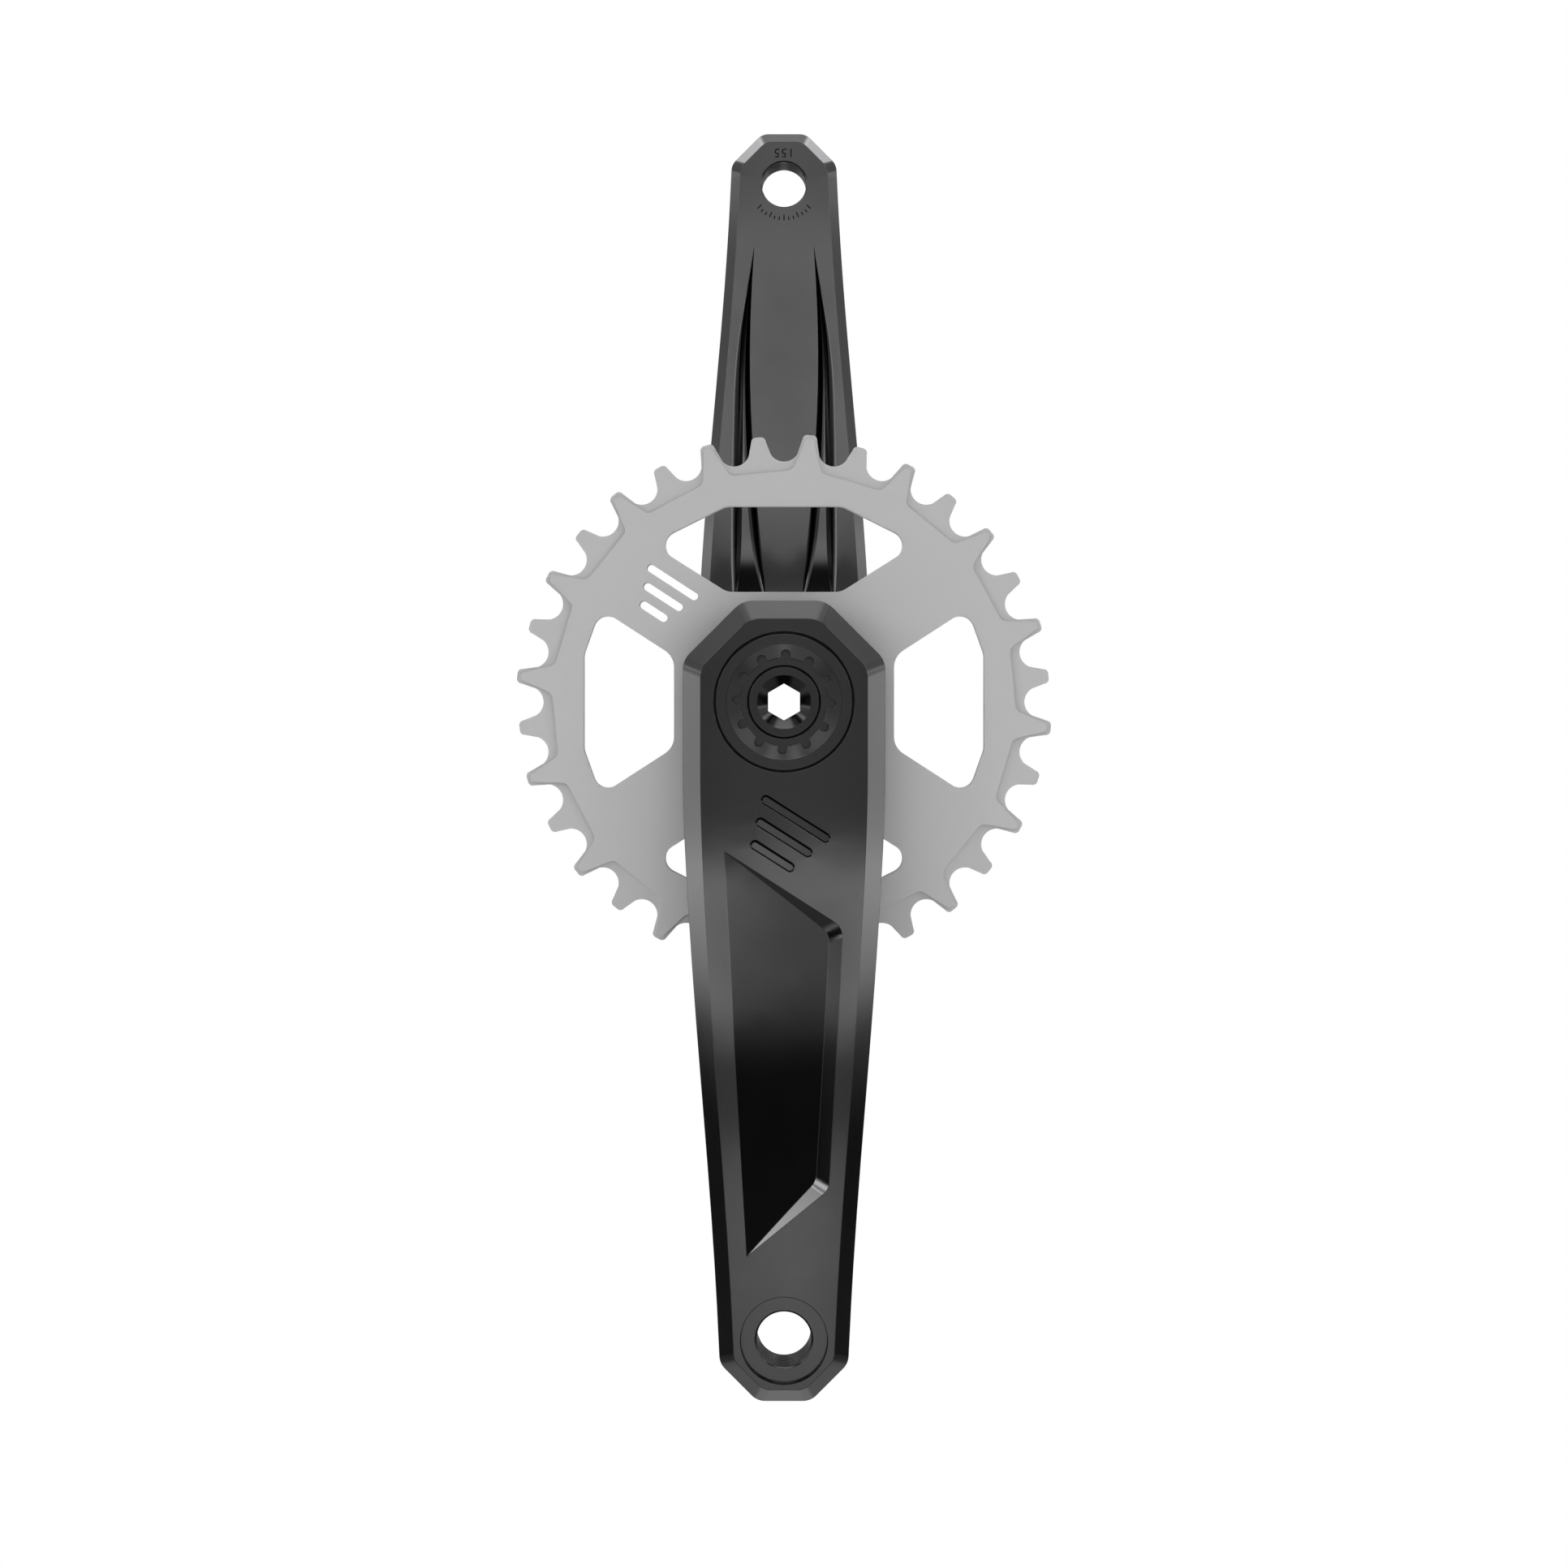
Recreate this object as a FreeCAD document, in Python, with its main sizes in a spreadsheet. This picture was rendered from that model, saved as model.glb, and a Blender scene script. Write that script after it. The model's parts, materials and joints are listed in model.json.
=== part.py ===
"""Bicycle crankset: two forged arms at 180 degrees on a hollow 30 mm spindle.

Frame: origin on the spindle axis at the bicycle's centre plane, +Z up, Y along the
spindle with the drive side at -Y, X forwards. The drive arm points down and the left
arm points up. Lengths are millimetres.
"""
import FreeCAD, Part
import math
import os

import Sketcher
from FreeCAD import Vector

SIZES = [
    # crank as a whole
    ("crank_length", 155.0, "spindle axis to pedal axis"),
    ("pedal_face", 84.0, "centre plane to an arm's outer face at the pedal"),
    ("pedal_thickness", 14.5, "thickness of an arm at the pedal"),
    ("head_face", 71.0, "centre plane to an arm's outer face at the axle"),
    ("head_thickness", 14.0, "thickness of an arm at the axle"),
    ("run_out", 1.0, "how far a cut runs past the piece"),
    # arm outline, seen along the spindle
    ("head_half", 25.25, "half width of the arm at the axle"),
    ("head_top", 25.2, "height of the head above the axle"),
    ("head_cut", 14.85, "leg of the head's 45 degree corners"),
    ("head_round", 6.0, "rounding of the head's corners"),
    ("head_straight", 17.0, "straight side of the head past the axle"),
    ("half_upper", 24.5, "half width where the taper starts"),
    ("half_high", 22.8, "half width a third of the way down"),
    ("half_middle", 20.8, "half width at the middle of the taper"),
    ("half_low", 18.85, "half width two thirds of the way down"),
    ("half_lower", 17.1, "half width near the pedal"),
    ("half_pedal", 15.9, "half width where the pedal end starts"),
    ("pedal_start", 2.5, "pedal end starts this far past the pedal axis"),
    ("pedal_reach", 15.6, "pedal axis to the tip of the arm"),
    ("pedal_cut", 9.35, "leg of the tip's 45 degree corners"),
    ("pedal_round", 4.5, "rounding of the tip's corners"),
    ("head_bevel", 4.55, "width of the outer bevel at the axle"),
    ("pedal_bevel", 3.65, "width of the outer bevel at the pedal"),
    ("bevel_depth", 4.0, "depth of the outer bevel"),
    ("back_bevel", 2.8, "width of the inner bevel"),
    ("back_bevel_depth", 2.4, "depth of the inner bevel"),
    # how the arm bends outwards: share of the full offset at the spline's stations
    ("face_bend_upper", 0.06, "outer face, first station"),
    ("face_bend_high", 0.55, "outer face, second station"),
    ("face_bend_middle", 0.95, "outer face, third station"),
    ("back_bend_upper", 0.04, "inner face, first station"),
    ("back_bend_high", 0.20, "inner face, second station"),
    ("back_bend_middle", 0.45, "inner face, third station"),
    ("back_bend_low", 0.73, "inner face, fourth station"),
    ("back_bend_lower", 0.96, "inner face, fifth station"),
    # pocket in the outer face
    ("pocket_open_top", 36.9, "top of the pocket's open side below the axle"),
    ("pocket_open_top_side", 14.8, "open side's top, off the arm's middle"),
    ("pocket_open_end", 134.5, "bottom of the pocket's open side"),
    ("pocket_open_end_side", 9.05, "open side's bottom, off the middle"),
    ("pocket_wall_top", 55.4, "top of the pocket's walled side"),
    ("pocket_wall_top_side", 14.5, "walled side's top, off the middle"),
    ("pocket_wall_end", 118.3, "bottom of the pocket's walled side"),
    ("pocket_wall_end_side", 10.9, "walled side's bottom, off the middle"),
    ("pocket_depth", 2.5, "depth of the pocket along its walled side"),
    ("pocket_wall_slope", 1.27, "run of a wall for each unit of depth"),
    ("pocket_round", 7.0, "rounding between two walls"),
    ("pocket_foot_round", 3.0, "rounding at the foot of the walls"),
    # twin pockets in the inner face
    ("groove_tip", 137.0, "start of the twin pockets below the axle"),
    ("groove_end", 27.0, "end of the twin pockets below the axle"),
    ("groove_tip_side", 8.8, "off the middle at the tip"),
    ("spine_swell", 1.35, "growth of the spine's half width below the tip"),
    ("rim_swell", 6.8, "growth of the outer edge's offset below the tip"),
    ("groove_foot_round", 1.6, "rounding at the foot of the spine"),
    ("groove_depth", 6.5, "full depth of the twin pockets"),
    ("groove_chamfer", 1.6, "depth of the chamfer along the outer wall"),
    ("groove_chamfer_slope", 1.05, "run of that chamfer for each unit of depth"),
    ("groove_outer_slope", 0.25, "run of the outer wall for each unit of depth"),
    ("groove_inner_slope", 0.18, "run of the spine's wall for each unit of depth"),
    # pedal hole
    ("pedal_bore", 6.72, "radius of the threaded pedal hole"),
    ("pedal_seat", 10.6, "radius of the pedal's seat"),
    ("pedal_seat_depth", 1.5, "depth of the pedal's seat"),
    ("edge_break", 0.4, "broken edges of turned pieces"),
    ("fine_break", 0.2, "broken edges of thin pieces"),
    # bores around the axle, from the arm's outer face inwards
    ("cap_bore", 17.5, "radius of the bore for the extractor cap"),
    ("cap_seat_depth", 4.6, "depth of that bore, down to its shoulder"),
    ("flange_bore", 14.0, "radius of the bore for the bolt's flange"),
    ("web_width", 3.0, "thickness of the web that the bolt pulls on"),
    ("web_hole_gap", 0.4, "clearance of the web's hole around the bolt's thread"),
    ("boss_past_nut", 0.3, "drive arm's boss past its ring nut"),
    ("left_boss_length", 7.0, "left arm's boss past the arm's inner face"),
    # spindle
    ("spindle_radius", 15.0, "journal of the spindle"),
    ("spindle_end_gap", 0.5, "gap between an end of the spindle and the web"),
    ("spline_tip", 14.2, "tip radius of the spindle's splines"),
    ("spline_root", 13.0, "root radius of the spindle's splines"),
    ("spline_groove", 3.4, "width of a groove between splines"),
    ("spline_count", 12.0, "splines on each end of the spindle"),
    ("spline_gap", 0.04, "clearance of the arm's socket on the splines"),
    ("spindle_bore", 11.5, "bore of the spindle's middle"),
    ("bolt_bore", 9.0, "bore of the spindle's threaded ends"),
    ("bolt_bore_length", 16.0, "length of a threaded end"),
    # crank bolt
    ("thread_gap", 0.05, "clearance between two threads"),
    ("shank_length", 18.0, "shank below the flange"),
    ("flange_gap", 0.7, "clearance around the bolt's flange"),
    ("flange_play", 0.2, "play of the flange under the cap"),
    ("flange_width", 2.0, "thickness of the flange"),
    ("bolt_washer_width", 1.0, "thickness of the washer under the flange"),
    ("nose_radius", 8.85, "round nose that stands through the cap"),
    ("nose_height", 2.8, "height of the nose above the flange"),
    ("mouth_wall", 2.15, "wall of the nose around its countersink"),
    ("mouth_depth", 2.2, "depth of the countersink"),
    ("drive_hexagon", 8.0, "drive side's hexagon across flats"),
    ("left_hexagon", 10.0, "left side's hexagon across flats"),
    ("hex_length", 8.0, "depth of a hexagon"),
    ("hex_run_out", 0.6, "cone under a hexagon"),
    ("through_gap", 0.25, "hole through a bolt, past its hexagon's corners"),
    # extractor cap
    ("lip_gap", 0.45, "fine gap around the cap's lip"),
    ("cap_height", 4.4, "height of the cap above its shoulder"),
    ("cap_lip_depth", 1.3, "height of the lip"),
    ("nose_gap", 0.35, "clearance of the cap's hole around the bolt's nose"),
    ("dish_radius", 14.3, "wide end of the cap's dish"),
    ("dish_depth", 0.9, "depth of the dish at the tool recess"),
    ("recess_radius", 11.0, "tool recess between its lobes"),
    ("recess_depth", 1.8, "depth of the tool recess"),
    ("lobe_reach", 13.0, "outer end of a lobe"),
    ("lobe_width", 2.3, "width of a lobe"),
    ("lobe_count", 12.0, "lobes of the tool recess"),
    ("lobe_turn", 2.0, "turn of the recess, degrees"),
    # chainring
    ("ring_width", 3.9, "thickness of the chainring"),
    ("tooth_count", 32.0, "teeth of the chainring"),
    ("chain_pitch", 12.7, "pitch of the chain"),
    ("roller_seat", 3.98, "radius of a roller seat"),
    ("seat_half_angle", 58.0, "half of a roller seat's arc, degrees"),
    ("tall_tip", 67.8, "tip radius of the wide teeth"),
    ("short_tip", 67.2, "tip radius of the narrow teeth"),
    ("tip_half", 1.85, "half width of a tooth near its tip"),
    ("tip_round", 1.2, "rounding of a tooth's tip"),
    ("narrow_tooth", 2.2, "thickness of the narrow teeth"),
    ("relief_radius", 58.5, "where the relief beside the wide teeth starts"),
    ("finger_foot", 3.6, "half width of a wide tooth's finger at its foot"),
    ("finger_foot_round", 2.0, "rounding between two fingers"),
    ("finger_top", 0.9, "half width of a finger at its top"),
    ("finger_top_round", 0.8, "rounding of a finger's top"),
    ("finger_short", 1.0, "finger ends this far under the tooth's tip"),
    ("ring_spline_tip", 21.0, "tip radius of the splines under the chainring"),
    ("ring_spline_root", 19.6, "root radius of those splines"),
    ("ring_spline_width", 3.8, "width of one of those splines"),
    ("ring_spline_count", 16.0, "splines under the chainring"),
    ("ring_spline_gap", 0.05, "clearance of the chainring on its splines"),
    ("ring_spline_short", 0.3, "splines end this far inside the chainring"),
    ("window_inner", 27.8, "axis to the near edge of a window"),
    ("side_window_outer", 50.6, "axis to the far edge of a side window"),
    ("side_window_low", 11.5, "half height of a side window's near edge"),
    ("side_window_high", 12.1, "half height of its far edge"),
    ("side_window_peak", 46.5, "distance of its peak along the ring"),
    ("side_window_peak_half", 23.6, "half height at its peak"),
    ("end_window_outer", 49.5, "axis to the far edge of an end window"),
    ("end_window_near_half", 14.4, "half width of an end window's near edge"),
    ("end_window_far_half", 14.7, "half width of its far edge"),
    ("end_window_peak", 40.0, "distance of its peak along the ring"),
    ("end_window_peak_half", 33.7, "half width at its peak"),
    ("window_round", 5.0, "rounding of a window's near corners"),
    ("window_peak_round", 3.6, "rounding of a window's peaks"),
    ("slot_width", 2.0, "width of the plain slots in one web"),
    ("slot_length", 15.0, "length of the longest slot"),
    ("slot_step", 3.5, "each next slot is this much shorter"),
    ("slot_pitch", 4.4, "distance between slots"),
    ("slot_place", 40.5, "axis to the middle of the slots"),
    ("slot_angle", 139.0, "direction of the slots' middle, degrees"),
    ("slot_tilt", 147.0, "direction that the slots point in, degrees"),
    # plain bars cut into the drive arm
    ("bar_width", 1.6, "width of a cut bar at its floor"),
    ("bar_length", 19.0, "length of the longest bar"),
    ("bar_step", 3.6, "each next bar is this much shorter"),
    ("bar_pitch", 5.4, "distance between bars"),
    ("bar_depth", 0.7, "depth of the bars"),
    ("bar_wall_slope", 0.6, "run of a bar's wall for each unit of depth"),
    ("bar_place", 33.5, "middle of the bars below the axle"),
    # ring nut that holds the chainring
    ("ring_thread", 18.4, "thread on the drive arm's boss"),
    ("nut_washer", 0.6, "thickness of the washer under the ring nut"),
    ("nut_washer_radius", 23.0, "radius of that washer"),
    ("nut_radius", 23.6, "radius of the ring nut"),
    ("nut_width", 4.2, "width of the ring nut"),
    ("nut_notch_width", 2.8, "width of a notch in the ring nut"),
    ("nut_notch_depth", 1.7, "depth of a notch"),
    ("nut_notch_count", 16.0, "notches of the ring nut"),
    # pieces on the spindle
    ("sleeve_gap", 0.05, "clearance of loose rings on the spindle"),
    ("spacer_radius", 19.0, "outer radius of the spacers"),
    ("spacer_width", 2.5, "width of the wide spacers"),
    ("shim_width", 1.0, "width of the thin spacer"),
    ("shield_radius", 21.5, "outer radius of the bearing shields"),
    ("shield_width", 1.8, "width of the bearing shields"),
    ("shield_lip", 0.7, "thickness of a shield's rim"),
    ("shield_rim", 1.1, "height of a shield's rim"),
    ("shield_hollow", 0.6, "depth of a shield's hollow side"),
    # preload adjuster on the left arm's boss
    ("adjuster_thread", 18.0, "thread on the left arm's boss"),
    ("adjuster_gap", 0.06, "running clearance of the adjuster"),
    ("adjuster_radius", 22.3, "outer radius of the adjuster"),
    ("adjuster_rest_gap", 0.2, "gap to the arm when screwed fully back"),
    ("adjuster_width", 7.0, "width of the adjuster"),
    ("lug_reach", 25.0, "outer face of the clamp lug"),
    ("lug_half", 6.5, "half length of the clamp lug"),
    ("slit_width", 1.2, "width of the slit through the lug"),
    ("grip_count", 24.0, "grip flutes around the adjuster"),
    ("grip_radius", 1.4, "radius of a grip flute"),
    ("grip_depth", 0.5, "depth of a grip flute"),
    ("grip_clear", 35.0, "no grip flute this near the lug, degrees"),
    ("pinch_place", 21.9, "axis to the pinch screw"),
    ("pinch_shank", 1.25, "radius of the pinch screw's shank"),
    ("pinch_head", 2.25, "radius of its head"),
    ("pinch_head_length", 2.5, "length of its head"),
    ("pinch_short", 0.5, "pinch screw ends this far inside the lug"),
    ("pinch_gap", 0.05, "clearance around the pinch screw"),
    ("pinch_hex", 2.0, "its hexagon across flats"),
    ("pinch_hex_depth", 1.3, "depth of that hexagon"),
    ("lug_angle", 40.0, "direction of the lug, degrees from +X"),
    ("washer_width", 1.5, "width of the thrust washer"),
    ("washer_radius", 21.0, "outer radius of the thrust washer"),
    ("washer_gap", 0.1, "gap between the adjuster and the thrust washer"),
]

doc = FreeCAD.newDocument("crankset")
sheet = doc.addObject("Spreadsheet::Sheet", "sizes")
for row, (alias, value, note) in enumerate(SIZES, start=1):
    sheet.set("A%d" % row, note)
    sheet.set("B%d" % row, str(value))
    sheet.setAlias("B%d" % row, alias)
doc.recompute()

# Places along the spindle, as distances from the centre plane. Each follows from the
# piece before it, so pieces that fit together keep their fit when a size changes.
PEDAL_BACK = "(sizes.pedal_face - sizes.pedal_thickness)"
HEAD_BACK = "(sizes.head_face - sizes.head_thickness)"
CAP_SHOULDER = "(sizes.head_face - sizes.cap_seat_depth)"
CAP_FACE = "(%s + sizes.cap_height)" % CAP_SHOULDER
RECESS_FLOOR = "(%s - sizes.recess_depth)" % CAP_FACE
FLANGE_FACE = "(%s - sizes.flange_play)" % CAP_SHOULDER
NOSE_FACE = "(%s + sizes.nose_height)" % FLANGE_FACE
FLANGE_BACK = "(%s - sizes.flange_width)" % FLANGE_FACE
WEB_FACE = "(%s - sizes.bolt_washer_width)" % FLANGE_BACK
WEB_BACK = "(%s - sizes.web_width)" % WEB_FACE
SPINDLE_END = "(%s - sizes.spindle_end_gap)" % WEB_BACK
RING_BACK = "(%s - sizes.ring_width)" % HEAD_BACK
NUT_START = "(%s - sizes.nut_washer)" % RING_BACK
NUT_END = "(%s - sizes.nut_width)" % NUT_START
DRIVE_BOSS_END = "(%s - sizes.boss_past_nut)" % NUT_END
LEFT_BOSS_END = "(%s - sizes.left_boss_length)" % HEAD_BACK
ADJUSTER_HIGH = "(%s - sizes.adjuster_rest_gap)" % HEAD_BACK
ADJUSTER_LOW = "(%s - sizes.adjuster_width)" % ADJUSTER_HIGH

# Radii that follow from the piece around them
CAP_THREAD = "(sizes.cap_bore - sizes.thread_gap)"
CAP_LIP = "(sizes.cap_bore - sizes.lip_gap)"
CAP_HOLE = "(sizes.nose_radius + sizes.nose_gap)"
FLANGE_RADIUS = "(sizes.flange_bore - sizes.flange_gap)"
SHANK_RADIUS = "(sizes.bolt_bore - sizes.thread_gap)"
WEB_HOLE = "(sizes.bolt_bore + sizes.web_hole_gap)"
MOUTH_RADIUS = "(sizes.nose_radius - sizes.mouth_wall)"
NUT_BORE = "(sizes.ring_thread + sizes.thread_gap)"
SLEEVE_BORE = "(sizes.spindle_radius + sizes.sleeve_gap)"

DRIVE = -1
LEFT = 1
SIDE_NAMES = {DRIVE: "drive", LEFT: "left"}
SPLINE_SPANS = 6
END_EASE = 0.3
WALL_ABOVE = 4.0
WALL_BELOW = 10.0
FLOOR_SPAN = (-0.25, 1.6)
NODES = []

# Shapes of the twin pockets along the arm, tip to axle, as shares of a named size
GROOVE_SPANS = 8
GROOVE_LIFT = 2.0
GROOVE_TIP_GAP = 0.05
GROOVE_LEAST = 0.05
GROOVE_ROOM = 0.8
FOOT_STEPS = 4
SPINE_EDGE = [0, 0.25, 0.65, 1, 1, 0.6, 0.05, -0.8, -1.85, -2.75, -3.2]
RIM_EDGE = [0, 0.1, 0.34, 0.72, 0.9, 0.94, 0.965, 0.985, 1, 0.94, 0.85]
GROOVE_SINK = [-0.02, 0.10, 0.36, 0.72, 0.93, 1, 1, 1, 1, 0.45, -0.05]


def mm(alias):
    """A size as the sheet holds it."""
    return float(sheet.get(alias))


def count(alias):
    return int(round(mm(alias)))


def keep(feature, label):
    """Give a finished sub-part its name and list it for export."""
    feature.Label = label
    NODES.append(feature)
    return feature


# Sketch and body helpers


def origin_plane(body, role):
    return next(item for item in body.Origin.OriginFeatures if item.Role == role)


def polygon_sketch(body, name, role, points, offset=None):
    """Closed polygon whose corners are pairs of expressions on the sheet."""
    sketch = body.newObject("Sketcher::SketchObject", name)
    sketch.AttachmentSupport = (origin_plane(body, role), [""])
    sketch.MapMode = "FlatFace"
    if offset is not None:
        sketch.setExpression(".AttachmentOffset.Base.z", offset)
    corners = [Vector(evaluate(x), evaluate(y), 0) for x, y in points]
    total = len(corners)
    for index, corner in enumerate(corners):
        sketch.addGeometry(Part.LineSegment(corner, corners[(index + 1) % total]), False)
    add_constraints(sketch, points, total)
    return sketch


def add_constraints(sketch, points, total):
    for index in range(total):
        following = (index + 1) % total
        sketch.addConstraint(Sketcher.Constraint("Coincident", index, 2, following, 1))
    for index, (x, y) in enumerate(points):
        for kind, text in (("DistanceX", x), ("DistanceY", y)):
            rule = Sketcher.Constraint(kind, -1, 1, index, 1, evaluate(text))
            number = sketch.addConstraint(rule)
            sketch.setExpression("Constraints[%d]" % number, text)


def evaluate(text):
    """Value of an expression on the sheet's aliases, as a plain number."""
    result = sheet.evalExpression(text)
    return float(getattr(result, "Value", result))


def turned_body(name, points):
    """Body of revolution about the spindle axis from (radius, place) expressions."""
    body = doc.addObject("PartDesign::Body", name)
    profile = polygon_sketch(body, name + "_profile", "XY_Plane", points)
    turn = body.newObject("PartDesign::Revolution", name + "_turn")
    turn.Profile = profile
    turn.ReferenceAxis = (profile, ["V_Axis"])
    turn.Angle = 360.0
    doc.recompute()
    return body


def ring_points(inner, outer, start, end, broken="sizes.edge_break"):
    """Section of a plain ring with broken outer edges; start is nearer the arm."""
    return [
        (inner, start),
        ("%s - %s" % (outer, broken), start),
        (outer, "%s + (%s - (%s)) / abs(%s - (%s)) * %s" % (start, end, start, end, start, broken)),
        (outer, "%s - (%s - (%s)) / abs(%s - (%s)) * %s" % (end, end, start, end, start, broken)),
        ("%s - %s" % (outer, broken), end),
        (inner, end),
    ]


def pocket(body, name, points, side, place, depth):
    """Cut a polygon into a body from a plane across the spindle axis, inwards."""
    offset = "%d * (%s)" % (-side, place)
    sketch = polygon_sketch(body, name + "_outline", "XZ_Plane", points, offset)
    cut = body.newObject("PartDesign::Pocket", name)
    cut.Profile = sketch
    cut.Length = evaluate(depth)
    cut.setExpression("Length", depth)
    cut.Reversed = side == LEFT
    doc.recompute()
    return cut


def polar(body, name, features, number, turn=360.0):
    """Repeat features around the spindle axis."""
    pattern = body.newObject("PartDesign::PolarPattern", name)
    pattern.Originals = features
    pattern.Axis = (origin_axis(body, "Y_Axis"), [""])
    pattern.Angle = turn
    pattern.Occurrences = number
    body.Tip = pattern
    doc.recompute()
    return pattern


def origin_axis(body, role):
    return next(item for item in body.Origin.OriginFeatures if item.Role == role)


# Geometry helpers for the freely shaped pieces


def rounded_wire(corners, place):
    """Closed wire across Y = place from (x, z, rounding) corners."""
    total = len(corners)
    edges = []
    ends = []
    for index, (x, z, radius) in enumerate(corners):
        here = Vector(x, place, z)
        if radius <= 0:
            ends.append((here, here, None))
            continue
        before = Vector(corners[index - 1][0], place, corners[index - 1][1])
        after = Vector(corners[(index + 1) % total][0], place, corners[(index + 1) % total][1])
        inward = (before - here).normalize()
        outward = (after - here).normalize()
        half_angle = inward.getAngle(outward) / 2
        leg = radius / math.tan(half_angle)
        bisector = (inward + outward).normalize()
        middle = here + bisector * (radius / math.sin(half_angle) - radius)
        ends.append((here + inward * leg, here + outward * leg, middle))
    for index, (start, end, middle) in enumerate(ends):
        if middle is not None:
            edges.append(Part.Arc(start, middle, end).toShape())
        following = ends[(index + 1) % total][0]
        if (following - end).Length > 1e-6:
            edges.append(Part.LineSegment(end, following).toShape())
    return Part.Wire(edges)


def prism(corners, start, end):
    """Straight prism of a rounded polygon between two places along Y."""
    face = Part.Face(rounded_wire(corners, start))
    return face.extrude(Vector(0, end - start, 0))


def slot_corners(centre, direction, length, width):
    """Round-ended slot as four corners rounded by half its width."""
    along = Vector(math.cos(direction), 0, math.sin(direction)) * (length / 2)
    across = Vector(-math.sin(direction), 0, math.cos(direction)) * (width / 2)
    points = [centre - along - across, centre + along - across,
              centre + along + across, centre - along + across]
    return [(point.x, point.z, width / 2) for point in points]


def stations(start, end, spans=SPLINE_SPANS):
    """Pole heights of a clamped cubic that runs evenly from start to end."""
    step = (end - start) / spans
    inner = [start + step * index for index in range(1, spans)]
    return [start, start + step / 3] + inner + [end - step / 3, end]


def spline(points):
    """Clamped uniform cubic spline edge with the given poles."""
    spans = len(points) - 3
    curve = Part.BSplineCurve()
    multiplicities = [4] + [1] * (spans - 1) + [4]
    knots = [float(index) for index in range(spans + 1)]
    curve.buildFromPolesMultsKnots(points, multiplicities, knots, False, 3)
    return curve.toShape()


def tube_of_rails(rails):
    """Solid bounded by ruled faces between neighbouring rails and flat ends."""
    edges = [spline(rail) for rail in rails]
    total = len(edges)
    faces = [Part.makeRuledSurface(edges[index], edges[(index + 1) % total])
             for index in range(total)]
    for end in (0, -1):
        loop = [rail[end] for rail in rails]
        faces.append(Part.Face(Part.makePolygon(loop + loop[:1])))
    return solid_of(faces)


def solid_of(faces):
    shell = Part.makeShell(faces)
    shell.sewShape()
    solid = Part.makeSolid(shell)
    if solid.Volume < 0:
        solid.reverse()
    return solid


def bore(radius, start, end, x=0.0, z=0.0):
    """Cylinder along Y between two places on the drive side, given as distances."""
    return Part.makeCylinder(radius, abs(end - start), Vector(x, -max(start, end), z), Vector(0, 1, 0))


def splined_prism(root, tip, width, number, start, end):
    """Round bar with straight-sided splines standing out of it."""
    bar = bore(root, start, end)
    length = abs(end - start)
    low = -max(start, end)
    blade = Part.makeBox(tip * 2, length, width, Vector(-tip, low, -width / 2))
    blades = []
    for index in range(number // 2):
        turned = blade.copy()
        turned.rotate(Vector(0, 0, 0), Vector(0, 1, 0), 360.0 * index / number)
        blades.append(turned)
    return bar.fuse(blades).common(bore(tip, start, end)).removeSplitter()


# Arms


def along_arm(depth_below_axle):
    """Depth below the axle as a share of the tapered part, 0 at the head, 1 at the pedal."""
    start = mm("head_straight")
    end = mm("crank_length") + mm("pedal_start")
    return (depth_below_axle - start) / (end - start)


def taper_stations():
    return stations(mm("head_straight"), mm("crank_length") + mm("pedal_start"))


def side_poles():
    """Half widths of the silhouette at the taper's stations."""
    last = mm("half_pedal")
    before = last + (mm("half_lower") - last) * END_EASE
    return [mm("head_half"), mm("head_half"), mm("half_upper"), mm("half_high"),
            mm("half_middle"), mm("half_low"), mm("half_lower"), before, last]


def face_poles():
    """Outer face's distance from the centre plane at the taper's stations."""
    shares = [0, 0, mm("face_bend_upper"), mm("face_bend_high"), mm("face_bend_middle"), 1, 1, 1, 1]
    rise = mm("pedal_face") - mm("head_face")
    return [mm("head_face") + share * rise for share in shares]


def back_poles():
    """Inner face's distance from the centre plane at the taper's stations."""
    shares = [0, 0, mm("back_bend_upper"), mm("back_bend_high"), mm("back_bend_middle"),
              mm("back_bend_low"), mm("back_bend_lower"), 1, 1]
    head = evaluate(HEAD_BACK)
    rise = evaluate(PEDAL_BACK) - head
    return [head + share * rise for share in shares]


def bevel_poles():
    """Outer bevel's width at the taper's stations, easing from head to pedal."""
    below = taper_stations()
    first = below[1]
    widths = []
    for depth in below:
        left = 1 - max(0.0, depth - first) / (below[-1] - first)
        widths.append(mm("pedal_bevel") + (mm("head_bevel") - mm("pedal_bevel")) * left ** 2)
    return widths


def arm_rails():
    """Rails of the tapered part on its +X half, outer face to inner face."""
    rails = {"face": [], "side_out": [], "side_in": [], "back": []}
    for below, half, face, back, bevel in zip(
            taper_stations(), side_poles(), face_poles(), back_poles(), bevel_poles()):
        rails["face"].append(Vector(half - bevel, -face, -below))
        rails["side_out"].append(Vector(half, -(face - mm("bevel_depth")), -below))
        rails["side_in"].append(Vector(half, -(back + mm("back_bevel_depth")), -below))
        rails["back"].append(Vector(half - mm("back_bevel"), -back, -below))
    return rails


def mirrored(rail):
    return [Vector(-point.x, point.y, point.z) for point in rail]


def arm_taper():
    rails = arm_rails()
    right = [rails["face"], rails["side_out"], rails["side_in"], rails["back"]]
    left = [mirrored(rail) for rail in reversed(right)]
    return tube_of_rails(right + left)


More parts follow.
